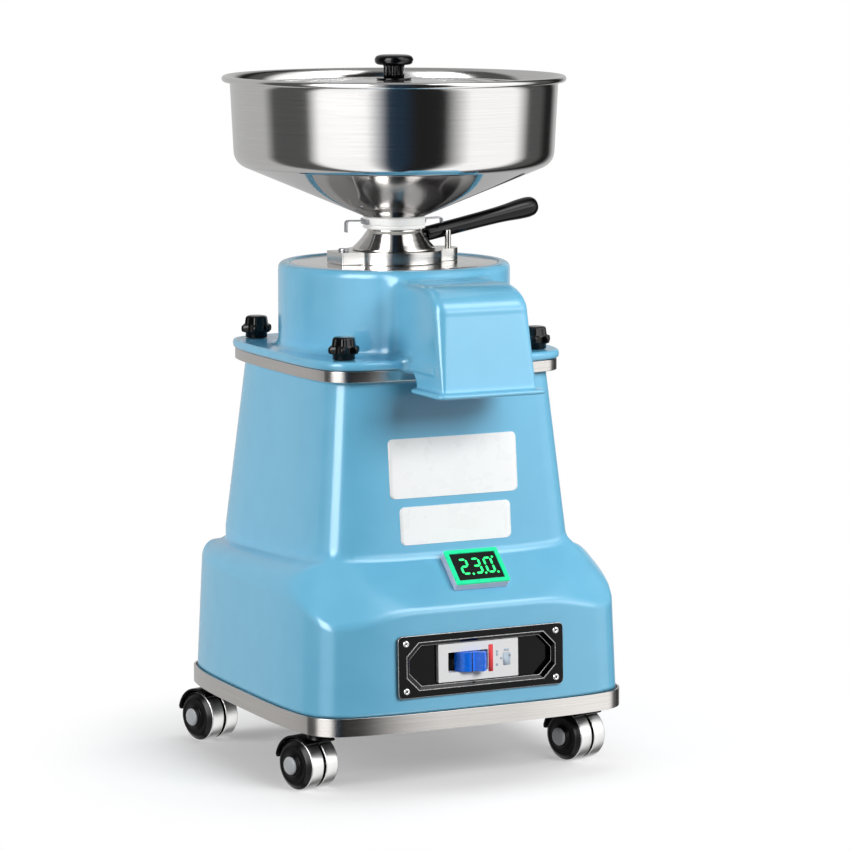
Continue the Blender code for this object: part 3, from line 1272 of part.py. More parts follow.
def make_fan():
    """The cooling fan under the motor: a hub, a disc and upright blades."""
    hub = [circle(FAN_HUB_RADIUS, SHAFT_STEPS), circle(SHAFT_RADIUS + GAP, SHAFT_STEPS)]
    fan = outline_mesh("cooling_fan", hub, FAN_HUB_HEIGHT)
    fan = place("cooling_fan", fan, black_plastic(), at=on_shaft(shaft_low))
    root = FAN_HUB_RADIUS - FAN_DISC_THICKNESS
    disc_z = fan_top - 2 * FAN_DISC_THICKNESS
    disc_loops = [circle(FAN_RADIUS, INNER_STEPS), circle(root, SHAFT_STEPS)]
    disc = outline_mesh("fan_disc", disc_loops, FAN_DISC_THICKNESS)
    join(fan, place("fan_disc", disc, at=on_shaft(disc_z)))
    half = FAN_BLADE_THICKNESS / 2
    low, high = shaft_low + FAN_DISC_THICKNESS, disc_z + FAN_DISC_THICKNESS / 2
    for i in range(FAN_BLADES):
        name = f"fan_blade_{i + 1}"
        blade = block_mesh(name, (root, -half, low), (FAN_RADIUS - FAN_DISC_THICKNESS, half, high))
        join(fan, place(name, blade, at=on_shaft(), turn=(0, 0, 2 * pi * i / FAN_BLADES)))


def wheel_profile():
    """A caster wheel as (radius, distance from the caster's middle): tread inside, black face outside."""
    bore = AXLE_RADIUS + GAP
    face = tread_end + WHEEL_FACE_DEPTH
    return [
        (bore, wheel_outer_face),
        (WHEEL_HUB_RADIUS, wheel_outer_face),
        (WHEEL_HUB_RADIUS, face),
        (WHEEL_FACE_RADIUS, face),
        (WHEEL_RADIUS - TREAD_EDGE, tread_end),
        (WHEEL_RADIUS, tread_end - TREAD_EDGE),
        (WHEEL_RADIUS, wheel_inner_face),
        (bore, wheel_inner_face),
    ]


def hood_profile():
    """The hood from the side: an arc over the wheels, closed by the round web that holds the axle."""
    over = arc((0, 0), (hood_outer, hood_outer), HOOD_REAR_ANGLE, HOOD_FRONT_ANGLE, HOOD_STEPS)
    under = arc((0, 0), (WEB_RADIUS, WEB_RADIUS), HOOD_FRONT_ANGLE, HOOD_REAR_ANGLE + 2 * pi, HOOD_STEPS)
    return over + under


def make_caster(name, x, y):
    """One caster: fixed plate and stem, and a swivelling hood whose axle carries two separate wheels."""
    profile = [
        (0, MOUNT_PLATE_THICKNESS),
        (MOUNT_PLATE_RADIUS, MOUNT_PLATE_THICKNESS),
        (MOUNT_PLATE_RADIUS, 0),
        (STEM_RADIUS, 0),
        (STEM_RADIUS, -STEM_LENGTH),
        (0, -STEM_LENGTH),
    ]
    dark = finish("dark_steel", DARK_STEEL, 0.35, 1.0)
    turned("caster_mount_" + name, profile, SMALL_STEPS, dark, at=(x, y, mount_plate_low))

    swivel = station("caster_swivel_" + name, (x, y, wheel_center_z), (0, 0, CASTER_TURN))
    hub = station("caster_hub_" + name, (0, CASTER_TRAIL, 0), parent=swivel)
    sideways = (pi / 2, 0, pi / 2)
    half_hood = tread_end + HOOD_OVERHANG
    shell = outline_mesh("caster_hood_" + name, [hood_profile()], 2 * half_hood)
    across = (-half_hood, 0, 0)
    hood = place("caster_hood_" + name, shell, black_plastic(), at=across, turn=sideways, parent=hub)
    boss_top = caster_boss_top - wheel_center_z
    boss = rod_mesh("hood_boss_" + name, CASTER_BOSS_RADIUS, WHEEL_RADIUS / 2, boss_top, SMALL_STEPS)
    join(hood, place("hood_boss_" + name, boss, parent=swivel))
    for side in (-1, 1):
        tag = f"wheel_space_{name}_{'left' if side < 0 else 'right'}"
        ends = sorted((side * half_web, side * (half_hood + OVERRUN)))
        cut(hood, place(tag, rod_mesh(tag, hood_inner, *ends, 2 * WHEEL_STEPS), turn=sideways, parent=hub))
    axle_hole = rod_mesh("axle_hole_" + name, AXLE_RADIUS + GAP, -half_hood, half_hood, SMALL_STEPS)
    stem_low = mount_plate_low - STEM_LENGTH - GAP - wheel_center_z
    stem_hole = rod_mesh("stem_hole_" + name, STEM_RADIUS + GAP, stem_low, mount_plate_low, SMALL_STEPS)
    cut(
        hood,
        place("axle_hole_" + name, axle_hole, turn=sideways, parent=hub),
        place("stem_hole_" + name, stem_hole, parent=swivel),
    )

    cap_inner = axle_half - HUB_CAP_THICKNESS
    profile = [
        (0, axle_half),
        (HUB_CAP_RADIUS, axle_half),
        (HUB_CAP_RADIUS, cap_inner),
        (AXLE_RADIUS, cap_inner),
        (AXLE_RADIUS, -cap_inner),
        (HUB_CAP_RADIUS, -cap_inner),
        (HUB_CAP_RADIUS, -axle_half),
        (0, -axle_half),
    ]
    grey = finish("hub_grey", HUB_GREY, 0.35)
    turned("caster_axle_" + name, profile, SMALL_STEPS, grey, turn=(0, pi / 2, 0), parent=hub)
    phase = pi / WHEEL_STEPS
    for side, label in ((-1, "left"), (1, "right")):
        turn = (0, side * pi / 2, 0)
        wheel = f"caster_wheel_{name}_{label}"
        turned(wheel, wheel_profile(), WHEEL_STEPS, brushed_steel(), phase=phase, turn=turn, parent=hub)


def make_casters():
    make_caster("left_front", -caster_spread, -caster_front)
    make_caster("right_front", caster_spread, -caster_front)
    make_caster("left_rear", -caster_spread, caster_rear)
    make_caster("right_rear", caster_spread, caster_rear)


def main():
    start_file()
    make_base()
    panel = panel_station()
    make_housing(panel)
    make_switch_panel(panel)
    make_meter()
    make_chamber_plate()
    make_chamber_cover()
    make_clamp_knobs()
    make_adjuster()
    make_feed_ring()
    make_hopper()
    make_lid()
    make_stones()
    make_motor()
    make_casters()
    bpy.context.view_layer.update()


main()
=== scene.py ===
from math import atan2, cos, pi, radians, sin, sqrt

import bmesh
import bpy
import numpy as np
from mathutils import Matrix, Vector


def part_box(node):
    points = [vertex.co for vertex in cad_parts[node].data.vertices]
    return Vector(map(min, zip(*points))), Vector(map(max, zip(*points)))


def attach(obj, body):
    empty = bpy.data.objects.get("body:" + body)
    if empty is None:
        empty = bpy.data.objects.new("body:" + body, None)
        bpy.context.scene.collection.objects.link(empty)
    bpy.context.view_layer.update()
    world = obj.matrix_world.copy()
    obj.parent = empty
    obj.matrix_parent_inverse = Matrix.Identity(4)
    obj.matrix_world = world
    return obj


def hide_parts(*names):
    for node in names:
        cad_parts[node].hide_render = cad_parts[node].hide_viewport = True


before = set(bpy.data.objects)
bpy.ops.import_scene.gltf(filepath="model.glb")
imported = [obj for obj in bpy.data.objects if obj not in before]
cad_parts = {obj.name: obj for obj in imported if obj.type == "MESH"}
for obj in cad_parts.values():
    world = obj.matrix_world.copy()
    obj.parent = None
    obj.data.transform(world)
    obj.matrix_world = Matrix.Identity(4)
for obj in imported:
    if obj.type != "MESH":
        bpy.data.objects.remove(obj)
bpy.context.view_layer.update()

# Metres, +Z up, the spout side facing -Y. Sizes that the source of the part states are repeated here.
SHAFT_Y = 0.0220
SHEET = 0.0012
SEAT_GAP = 0.0003

# Moulded stand
SKIRT_HALF_WIDTH = 0.1775
SKIRT_HALF_DEPTH = 0.1720
SKIRT_DRAFT = 0.0035
SKIRT_HEIGHT = 0.0990
SKIRT_CORNER = 0.0350
SKIRT_BOW = 0.0085
SHOULDER_HEIGHT = 0.0430
SHOULDER_SIDE_RISE = 0.0130
SHOULDER_REAR_FALL = 0.0160
SHOULDER_BULGE = 0.0050
FRONT_BULGE = 0.0004
TOWER_HEIGHT = 0.1730
TOWER_FOOT_HALF = 0.1420
TOWER_FOOT_CORNER = 0.0280
TOWER_TOP_HALF = 0.1250
TOWER_TOP_CORNER = 0.0250
TOWER_BOW = 0.0055
HOUSING_WALL = 0.0040
STAND_AXIS_Y = 0.0120
STAND_STEPS = 480
STAND_ROWS = (24, 96, 40)
DENSE_ROWS_BELOW = 0.0160
DENSE_ROWS_ABOVE = 0.0140
STAND_REACH_RANGE = (0.05, 0.32)
REACH_HALVINGS = 26
PANEL_OPENING_HALF = (0.0835, 0.0260)
PANEL_SIDE_Y = -0.1500
SKIRT_EDGE_SOFTNESS = 0.0036
FACET_EDGE_SOFTNESS = 0.0024
CREASE_SOFTNESS = 0.0042

# The cut corner on the shoulder: its lowest tip, the way it faces, and how its sides fall away
FACET_TIP = (-0.1570, -0.1540, 0.1650)
FACET_FACING = (-0.3400, -0.6730, 0.6560)
FACET_ACROSS = (0.8400, -0.5330, -0.1106)
FACET_FRONT_REACH = 0.0615
FACET_SIDE_REACH = 0.0363
FACET_FRONT_FALL = 0.0061
FACET_SIDE_FALL = 0.0099
FACET_FALL_LIMIT = 1.4

# Chamber cover
FLANGE_HALF = 0.1380
FLANGE_CORNER = 0.0320
FLANGE_BOW = 0.0070
CHAMBER_PLATE_INSET = 0.0035
STUD_SPREAD = 0.1050
STUD_RADIUS = 0.0040
DRUM_RADIUS = 0.1165
DRUM_WALL = 0.0040
DISC_RADIUS = 0.1040
SLEEVE_HOLE = 0.0280
COVER_CELL = 0.0018
SPOUT_HALF_WIDTH = 0.0510
SPOUT_WALL = 0.0040
SPOUT_REACH = 0.1980
SPOUT_BROW_DEPTH = 0.0430
SPOUT_BROW_DROP = 0.0260
SPOUT_TOP_DROP = 0.0090
SPOUT_FLARE = 0.0140
SPOUT_REAR = 0.1355
SPOUT_REAR_DEPTH = 0.0205
SPOUT_LEDGE = 0.0012
LIP_PROUD = 0.0080
LIP_THICKNESS = 0.0050
LIP_REAR = 0.1530
LIP_CORNER = 0.0080
FLANGE_THICKNESS = 0.0088
CHAMBER_PLATE_THICKNESS = 0.0112
CHAMBER_ROOF = 0.0066
DISC_SINK = 0.0026
LEDGE_INSET = 0.0006
LEDGE_SETBACK = 0.0040
COVER_FRONT = 0.2260
COVER_MARGIN = 0.0040

# How softly the cover's edges round off, and how its forms run into each other
FLANGE_EDGE = 0.0040
DRUM_EDGE = 0.0075
DRUM_ROOT = 0.0090
DISC_EDGE = 0.0020
SPOUT_EDGE_LOW = 0.0035
SPOUT_EDGE_GAIN = 0.0090
SPOUT_EDGE_HIGH = 0.0130
SPOUT_BACK_EDGE = 0.0020
SPOUT_ROOT = 0.0120
LEDGE_ROOT = 0.0030
LIP_EDGE = 0.0040
LIP_ROOT = 0.0025

# Hopper and lid
HOPPER_FOOT_RADIUS = 0.0295
SPIGOT_RADIUS = 0.0247
HOPPER_BASE_RADIUS = 0.1590
HOPPER_TOP_RADIUS = 0.1625
HOPPER_WALL_HEIGHT = 0.0750
RIM_RADIUS = 0.1720
RIM_ROLL = 0.0032
HOPPER_CONE_HEIGHT = 0.0540


def node_span(name):
    """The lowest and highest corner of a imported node."""
    low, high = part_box(name)
    return Vector(low), Vector(high)


def level(name, top=False):
    """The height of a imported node's underside, or of its top."""
    return node_span(name)[1 if top else 0].z


housing_low = level("lower_housing")
shoulder_low = housing_low + SKIRT_HEIGHT
shoulder_top = shoulder_low + SHOULDER_HEIGHT
tower_top = shoulder_top + TOWER_HEIGHT
plate_low, plate_top = level("chamber_plate"), level("chamber_plate") + CHAMBER_PLATE_THICKNESS
flange_low = plate_top + SEAT_GAP
flange_top = flange_low + FLANGE_THICKNESS
drum_top = level("chamber_cover", top=True)
spout_foot = level("chamber_cover")
ring_low, ring_top = level("feed_ring"), level("feed_ring", top=True)
hopper_low = ring_top + SEAT_GAP
cone_foot = hopper_low + SHEET
wall_foot = cone_foot + HOPPER_CONE_HEIGHT
wall_top = wall_foot + HOPPER_WALL_HEIGHT
rim_top = level("hopper", top=True)


# Materials


def linear(code):
    """An sRGB hex colour as the linear colour that a shader takes."""
    shares = [int(code[i : i + 2], 16) / 255 for i in (1, 3, 5)]
    return (*[c / 12.92 if c <= 0.04045 else ((c + 0.055) / 1.055) ** 2.4 for c in shares], 1.0)


def add(tree, kind, inputs=None, **settings):
    """Add one shader node with its settings. An input is a value, or the socket that feeds it."""
    made = tree.nodes.new("ShaderNode" + kind)
    for name, value in settings.items():
        setattr(made, name, value)
    for name, value in (inputs or {}).items():
        if isinstance(value, bpy.types.NodeSocket):
            tree.links.new(value, made.inputs[name])
        else:
            made.inputs[name].default_value = value
    return made


def local_places(tree, size_mm, around):
    """Coordinates in grains of a size, as across, along and up, or as out, round and up for a turned piece."""
    place = add(tree, "TexCoord").outputs["Object"]
    if around:
        flat = add(tree, "VectorMath", {0: place, 1: (1, 1, 0)}, operation="MULTIPLY")
        reach = add(tree, "VectorMath", {0: flat.outputs[0]}, operation="LENGTH")
        split = add(tree, "SeparateXYZ", {0: place})
        angle = add(tree, "Math", {0: split.outputs["Y"], 1: split.outputs["X"]}, operation="ARCTAN2")
        arc = add(tree, "Math", {0: angle.outputs[0], 1: 0.05}, operation="MULTIPLY")
        rolled = {"X": reach.outputs["Value"], "Y": arc.outputs[0], "Z": split.outputs["Z"]}
        place = add(tree, "CombineXYZ", rolled).outputs[0]
    scale = tuple(1000 / mm for mm in size_mm)
    return add(tree, "VectorMath", {0: place, 1: scale}, operation="MULTIPLY").outputs[0]


def finish(
    name, pale, deep, rough, size_mm, depth_mm=0.0, around=False, detail=3.0, metallic=0.0, **shader_values
):
    """A material with a grain: two colours, a range of roughness, the grain's size and its depth."""
    made = bpy.data.materials.new(name)
    made.use_nodes = True
    tree = made.node_tree
    shader = tree.nodes["Principled BSDF"]
    shader.inputs["Metallic"].default_value = metallic
    for socket, value in shader_values.items():
        shader.inputs[socket.replace("_", " ")].default_value = value
    sizes = (size_mm,) * 3 if isinstance(size_mm, (int, float)) else size_mm
    grain = add(
        tree, "TexNoise", {"Vector": local_places(tree, sizes, around), "Scale": 1.0, "Detail": detail}
    )
    spread = {"Value": grain.outputs["Fac"], "From Min": 0.15, "From Max": 0.85}
    share = add(tree, "MapRange", spread, interpolation_type="SMOOTHSTEP")
    tone = add(tree, "Mix", {0: share.outputs[0], 6: linear(deep), 7: linear(pale)}, data_type="RGBA")
    gloss = {"Value": share.outputs[0], "To Min": rough[0], "To Max": rough[1]}
    tree.links.new(tone.outputs[2], shader.inputs["Base Color"])
    tree.links.new(add(tree, "MapRange", gloss).outputs[0], shader.inputs["Roughness"])
    if depth_mm:
        height = {"Height": grain.outputs["Fac"], "Distance": depth_mm / 1000, "Strength": 1.0}
        tree.links.new(add(tree, "Bump", height).outputs[0], shader.inputs["Normal"])
    return made


def brushed_around(made):
    """Give a metal the stretched highlight of brushing that runs round its axis."""
    tree = made.node_tree
    shader = tree.nodes["Principled BSDF"]
    shader.inputs["Anisotropic"].default_value = 0.5
    shader.inputs["Anisotropic Rotation"].default_value = 0.25
    tangent = add(tree, "Tangent", direction_type="RADIAL", axis="Z")
    tree.links.new(tangent.outputs[0], shader.inputs["Tangent"])
    return made


# Glossy moulded ABS: an even light blue, with a soft shine over a very shallow ripple from the mould.
shell_blue = finish(
    "glossy_moulded_abs", "#6EB8D9", "#6AB4D6", (
        0.22, 0.26
    ), 28, 0.006, detail=1.0, Coat_Weight=0.5, Coat_Roughness=0.07
)
# Brushed stainless trim: fine lines along the edge. Real lines are 0.1 mm apart, drawn at 0.9 mm to show.
trim_steel = finish(
    "brushed_stainless_trim", "#D2CFCC", "#C6C2BE", (0.20, 0.26), (
        70, 70, 0.9
    ), 0.004, metallic=1.0, detail=4.0
)
# Spun and brushed stainless sheet: fine rings round the axis, drawn 0.8 mm apart, over a clear reflection.
spun_steel = brushed_around(
    finish(
        "spun_stainless_sheet", "#DCDBDA", "#D2D1D0", (0.12, 0.16), (
            0.8, 30, 0.8
        ), 0.002, around=True, metallic=1.0
    )
)
# Buffed stainless cone: the same sheet polished until it mirrors the drum beneath it.
buffed_steel = finish(
    "buffed_stainless_cone",
    "#CCCBCB",
    "#C4C3C3",
    (0.06, 0.09),
    (0.8, 30, 0.8),
    0.0,
    around=True,
    metallic=1.0,
)
# Faced and polished steel: tool rings almost too fine to see, drawn 0.6 mm apart, under a hard shine.
faced_steel = brushed_around(
    finish(
        "faced_polished_steel",
        "#D8D6D3",
        "#CBC8C4",
        (0.07, 0.12),
        (0.6, 25, 0.6),
        0.002,
        around=True,
        metallic=1.0,
    )
)
# Milled steel of the adjuster flange: paler and softer than the cone, with tool rings drawn 0.6 mm apart.
milled_steel = brushed_around(
    finish(
        "milled_bright_steel",
        "#DAD8D5",
        "#CFCCC8",
        (0.16, 0.22),
        (0.6, 25, 0.6),
        0.002,
        around=True,
        metallic=1.0,
    )
)
# Ground steel tyre: bright, with fine lines round the tread, drawn 0.7 mm apart.
tread_steel = finish(
    "ground_steel_tyre", "#E2E2E1", "#D6D6D5", (0.32, 0.38), (40, 40, 0.7), 0.0, around=True, metallic=1.0
)
# Chromed screw: small, hard and bright, with faint specks of dust.
chrome = finish("chromed_screw", "#E2E2E2", "#C8C8C8", (0.10, 0.16), 0.6, 0.004, metallic=1.0)
# Zinc plated steel: cool, slightly cloudy grey.
zinc = finish("zinc_plated_steel", "#B9BABD", "#96979A", (0.30, 0.42), 3, 0.01, metallic=1.0)
# Compression-moulded phenolic: deep black with a wet shine and a faint unevenness.
phenolic = finish(
    "moulded_black_phenolic", "#060607", "#040405", (0.10, 0.15), 5, 0.004, Specular_IOR_Level=0.24
)
# Glossy black acrylic sheet: a flat deep black, with very fine hazing from wiping.
gloss_black = finish(
    "glossy_black_acrylic", "#050506", "#030304", (0.08, 0.12), (14, 3, 3), 0.0, Specular_IOR_Level=0.16
)
# Black nylon: satin, with the fine spark-eroded texture of its mould, drawn at 0.6 mm.
nylon = finish(
    "spark_textured_black_nylon", "#080809", "#050506", (0.24, 0.32), 0.6, 0.004, Specular_IOR_Level=0.22
)
# Painted highlight: a pale grey on the black sheet's chamfers and on thin rims, standing in for the thin line
# of light that a chamfered edge catches.
painted_highlight_grey = finish("painted_highlight_chamfer_grey", "#BDBDBD", "#8E8E8E", (0.20, 0.30), 1.5, 0.0, metallic=0.6)
# White acetal: dense, waxy white with a soft shine.
acetal = finish("turned_white_acetal", "#F0F0EE", "#E4E4E2", (0.28, 0.36), (0.7, 20, 0.7), 0.006, around=True)
# White polycarbonate: a clean white switch case, faintly textured by its mould.
switch_white = finish("moulded_white_polycarbonate", "#EDEDED", "#E2E2E3", (0.32, 0.40), 0.5, 0.012)
# Blue polycarbonate toggle: strong blue, glossy where fingers polish it.
toggle_blue = finish("moulded_blue_polycarbonate", "#0A74F0", "#0869E6", (0.22, 0.30), 4, 0.0)
# Printed ink on the switch case: flat colours with a slight mottle.
print_red = finish("screen_printed_red", "#E8474E", "#DC3A42", (0.40, 0.48), 0.8, 0.0)
print_grey = finish("screen_printed_blue_grey", "#BCCAD6", "#AEBECC", (0.40, 0.48), 0.8, 0.0)
# Gloss vinyl label: white, smooth, with the slightest waviness from being pressed on by hand.
vinyl = finish("gloss_white_vinyl", "#F7F8F8", "#F5F6F6", (0.26, 0.30), 18, 0.0)
# ABS meter case: white with a cool violet cast, satin.
meter_white = finish("satin_abs_meter_case", "#D6D4E2", "#C9C6D8", (0.34, 0.42), 0.8, 0.015)
# Smoked acrylic window: black and flat, with a hard shine.
smoked = finish("smoked_acrylic_window", "#04100A", "#020805", (0.07, 0.12), 12, 0.0)
# Grey nylon hub cap: light grey, satin, with fine turning rings.
hub_grey = finish(
    "light_grey_nylon_cap", "#B9BCBE", "#A4A7AA", (0.36, 0.46), (0.8, 20, 0.8), 0.015, around=True
)
# Powder-coated steel plate: charcoal, with the small bumps of its powder, drawn at 1.2 mm.
powder_coat = finish("powder_coated_plate", "#3A3B3D", "#2C2D2F", (0.45, 0.58), 1.2, 0.04)
# Blackened steel rod: dark, oily and smooth.
black_steel = finish(
    "blackened_steel_rod", "#4A4A4C", "#38383A", (0.26, 0.38), (0.8, 0.8, 30), 0.01, metallic=1.0
)
# Emery stone: coarse pale grit of about 1.5 mm, bound dull and rough.
emery = finish("bonded_emery_grit", "#B9AE9A", "#7F7767", (0.85, 0.95), 1.5, 0.5, detail=6.0)
# Sand-cast iron: dark grey with the coarse skin of a sand mould.
cast_iron = finish("sand_cast_iron", "#5A5B5E", "#414245", (0.50, 0.68), 1.8, 0.15, metallic=0.9, detail=5.0)
# Sprayed motor enamel: blue-grey, a little orange peel 3 mm across.
motor_enamel = finish("sprayed_motor_enamel", "#5C6A74", "#4F5C66", (0.34, 0.44), 3, 0.05, Coat_Weight=0.2)
# Enamelled copper winding on stacked laminations: warm brown lines, drawn 1.2 mm apart.
winding = finish(
    "enamelled_copper_winding",
    "#B06A3C",
    "#5E3A26",
    (0.34, 0.48),
    (1.2, 8, 1.2),
    0.12,
    around=True,
    metallic=0.7,
)
# Turned rotor steel and hardened bearing steel: bright, with fine rings.
rotor_steel = finish(
    "turned_rotor_steel", "#AFAFB0", "#8F8F90", (0.28, 0.40), (1, 25, 1), 0.02, around=True, metallic=1.0
)
bearing_steel = finish(
    "hardened_bearing_steel", "#C9CACC", "#B4B5B8", (0.12, 0.20), (1, 25, 1), 0.006, around=True, metallic=1.0
)
# Drawn aluminium can: soft grey lines down its length.
drawn_can = finish(
    "drawn_aluminium_can", "#C2C4C6", "#A9ABAD", (0.30, 0.42), (1.2, 1.2, 40), 0.01, metallic=1.0
)


def glowing_finish(name, colour, strength, size_mm):
    """A glowing plastic: it glows in its own colour, a little unevenly, as light spreads in it. The display's
    segments give their own light; on the bezel the glow is painted light.
    """
    made = finish(name, colour, colour, (0.25, 0.35), size_mm)
    tree = made.node_tree
    shader = tree.nodes["Principled BSDF"]
    glow = add(
        tree, "TexNoise", {"Vector": local_places(tree, (size_mm,) * 3, False), "Scale": 1.0, "Detail": 1.0}
    )
    spread = {"Value": glow.outputs["Fac"], "To Min": strength * 0.8, "To Max": strength * 1.2}
    tree.links.new(add(tree, "MapRange", spread).outputs[0], shader.inputs["Emission Strength"])
    shader.inputs["Emission Color"].default_value = linear(colour)
    return made


# Green acrylic bezel with a painted glow, and the brighter segments of the display, which glow with their own
# light.
painted_glow_bezel = glowing_finish("green_acrylic_painted_glow", "#14C98A", 0.55, 12)
lit_segment = glowing_finish("lit_green_segment", "#26F07A", 1.4, 6)


# Making pieces


def dress(piece, body, slot, *nodes):
    """Let a piece ride on its body and stand for the nodes that it replaces. The slot is not used."""
    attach(piece, body)
    if nodes:
        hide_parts(*nodes)
    return piece


def put(name, mesh, material, where=None):
    """Put a mesh in the scene as an object, at a place and turn given by a matrix."""
    piece = bpy.data.objects.new(name, mesh)
    bpy.context.scene.collection.objects.link(piece)
    for look in material if isinstance(material, (list, tuple)) else [material]:
        mesh.materials.append(look)
    if where is not None:
        piece.matrix_world = where
    return piece


def mesh_of(name, points, faces):
    """A smooth-shaded mesh from points and faces."""
    mesh = bpy.data.meshes.new(name)
    mesh.from_pydata([tuple(p) for p in points], [], [tuple(f) for f in faces])
    mesh.validate()
    mesh.shade_smooth()
    return mesh


def modify(piece, kind, **settings):
    """Add a modifier with its settings."""
    step = piece.modifiers.new(kind.lower(), kind)
    for name, value in settings.items():
        setattr(step, name, value)
    return step


def bevelled(piece, width, segments=3, angle=35, **settings):
    """Round a piece's sharp edges, then shade it smoothly with flat faces kept flat."""
    modify(
        piece, "BEVEL", width=width, segments=segments, limit_method="ANGLE", angle_limit=radians(
            angle
        ), **settings
    )
    modify(piece, "WEIGHTED_NORMAL", keep_sharp=True)
    return piece


def softened(points, radius, closed=False, steps=5):
    """Round the corners of a line of (x, y) points, each over a length of about the radius."""
    points = [Vector(p) for p in points]
    made = []
    count = len(points)
    for i, point in enumerate(points):
        if not closed and i in (0, count - 1):
            made.append(tuple(point))
            continue
        before, after = points[i - 1], points[(i + 1) % count]
        start = point + (before - point).normalized() * min(radius, (before - point).length * 0.48)
        end = point + (after - point).normalized() * min(radius, (after - point).length * 0.48)
        for k in range(steps + 1):
            t = k / steps
            made.append(tuple(start * (1 - t) ** 2 + point * 2 * t * (1 - t) + end * t**2))
    return made


def turned(name, profile, material, where=None, steps=96, closed=True):
    """Turn a line of (radius, height) points round Z. A closed line makes a ring, and an open one a sheet."""
    points, rows = [], []
    for radius, height in profile:
        if radius < 1e-6:
            rows.append([len(points)] * steps)
            points.append((0, 0, height))
            continue
        rows.append([len(points) + i for i in range(steps)])
        angles = [2 * pi * i / steps for i in range(steps)]
        points += [(radius * cos(a), radius * sin(a), height) for a in angles]
    pairs = list(zip(rows, rows[1:])) + ([(rows[-1], rows[0])] if closed else [])
    faces = []
    for low, high in pairs:
        for i in range(steps):
            j = (i + 1) % steps
            corners = [low[i], low[j], high[j], high[i]]
            face = [c for k, c in enumerate(corners) if c != corners[k - 1]]
            if len(face) > 2:
                faces.append(face)
    return put(name, outward(mesh_of(name, points, faces)), material, where)


def outward(mesh):
    """Turn a mesh's faces outward."""
    shape = bmesh.new()
    shape.from_mesh(mesh)
    bmesh.ops.recalc_face_normals(shape, faces=shape.faces)
    shape.to_mesh(mesh)
    shape.free()
    return mesh


def lofted(name, rings, material, where=None, capped=True):
    """Skin a stack of rings of equal point counts, with flat ends or joined into a loop."""
    count = len(rings[0])
    points = [p for ring in rings for p in ring]
    faces = []
    last = len(rings) - 1 if capped else len(rings)
    for row in range(last):
        low, high = row * count, ((row + 1) % len(rings)) * count
        faces += [(low + i, low + (i + 1) % count, high + (i + 1) % count, high + i) for i in range(count)]
    if capped:
        faces += [tuple(reversed(range(count))), tuple(range(last * count, last * count + count))]
    return put(name, outward(mesh_of(name, points, faces)), material, where)


def plate(name, loops, depth, material, where=None):
    """A flat plate from z = 0 up to depth. The first loop is its edge, and the others are holes."""
    curve = bpy.data.curves.new(name, "CURVE")
    curve.dimensions = "2D"
    curve.fill_mode = "BOTH"
    curve.extrude = depth / 2
    for loop in loops:
        spline = curve.splines.new("POLY")
        spline.points.add(len(loop) - 1)
        for point, (x, y) in zip(spline.points, loop):
            point.co = (x, y, 0, 1)
        spline.use_cyclic_u = True
    source = bpy.data.objects.new(name, curve)
    bpy.context.scene.collection.objects.link(source)
    mesh = bpy.data.meshes.new_from_object(source.evaluated_get(bpy.context.evaluated_depsgraph_get()))
    bpy.data.objects.remove(source)
    shape = bmesh.new()
    shape.from_mesh(mesh)
    bmesh.ops.remove_doubles(shape, verts=shape.verts, dist=1e-6)
    bmesh.ops.dissolve_limit(shape, angle_limit=radians(0.5), verts=shape.verts, edges=shape.edges)
    bmesh.ops.translate(shape, verts=shape.verts, vec=(0, 0, depth / 2))
    bmesh.ops.recalc_face_normals(shape, faces=shape.faces)
    mesh.clear_geometry()
    shape.to_mesh(mesh)
    shape.free()
    mesh.shade_smooth()
    mesh.materials.clear()
    return put(name, mesh, material, where)


def merged(name, *pieces):
    """Join pieces into the first one's object, with their modifiers applied and materials kept."""
    depsgraph = bpy.context.evaluated_depsgraph_get()
    looks, shape = [], bmesh.new()
    for piece in pieces:
        ready = bpy.data.meshes.new_from_object(piece.evaluated_get(depsgraph))
        ready.transform(piece.matrix_world)
        slots = [slot.material for slot in piece.material_slots]
        looks += [look for look in slots if look not in looks]
        for face in ready.polygons:
            face.material_index = looks.index(slots[face.material_index])
        shape.from_mesh(ready)
    mesh = bpy.data.meshes.new(name)
    shape.to_mesh(mesh)
    shape.free()
    for piece in pieces:
        bpy.data.objects.remove(piece)
    return put(name, mesh, looks)


def arc(center, radii, start, end, steps):
    """Points along part of an ellipse."""
    angles = [start + (end - start) * i / steps for i in range(steps + 1)]
    return [(center[0] + radii[0] * cos(a), center[1] + radii[1] * sin(a)) for a in angles]


def circle(radius, steps=64, center=(0, 0)):
    """Points round a circle, the last one beside the first."""
    return arc(center, (radius, radius), 0, 2 * pi, steps)[:-1]


def rounded_box(half_width, half_height, corner, center=(0, 0), steps=6):
    """A rectangle with round corners, counter-clockwise."""
    points = []
    for quarter, (sx, sy) in enumerate(((1, 1), (-1, 1), (-1, -1), (1, -1))):
        middle = (center[0] + sx * (half_width - corner), center[1] + sy * (half_height - corner))
        points += arc(middle, (corner, corner), quarter * pi / 2, (quarter + 1) * pi / 2, steps)
    return points


def at(x=0.0, y=0.0, z=0.0, turn=None):
    """A place, and a turn as a rotation matrix where it has one."""
    place = Matrix.Translation((x, y, z))
    return place @ turn if turn else place


# Moulded shapes, described by how far a point lies outside them


def soft_max(a, b, width):
    """The larger of two distances, rounded where they meet: a soft outer edge."""
    near = np.maximum(width - np.abs(a - b), 0.0) / width
    return np.maximum(a, b) + near * near * width * 0.25


def soft_min(a, b, width):
    """The smaller of two distances, rounded where they meet: a soft inner corner."""
    return -soft_max(-a, -b, width)


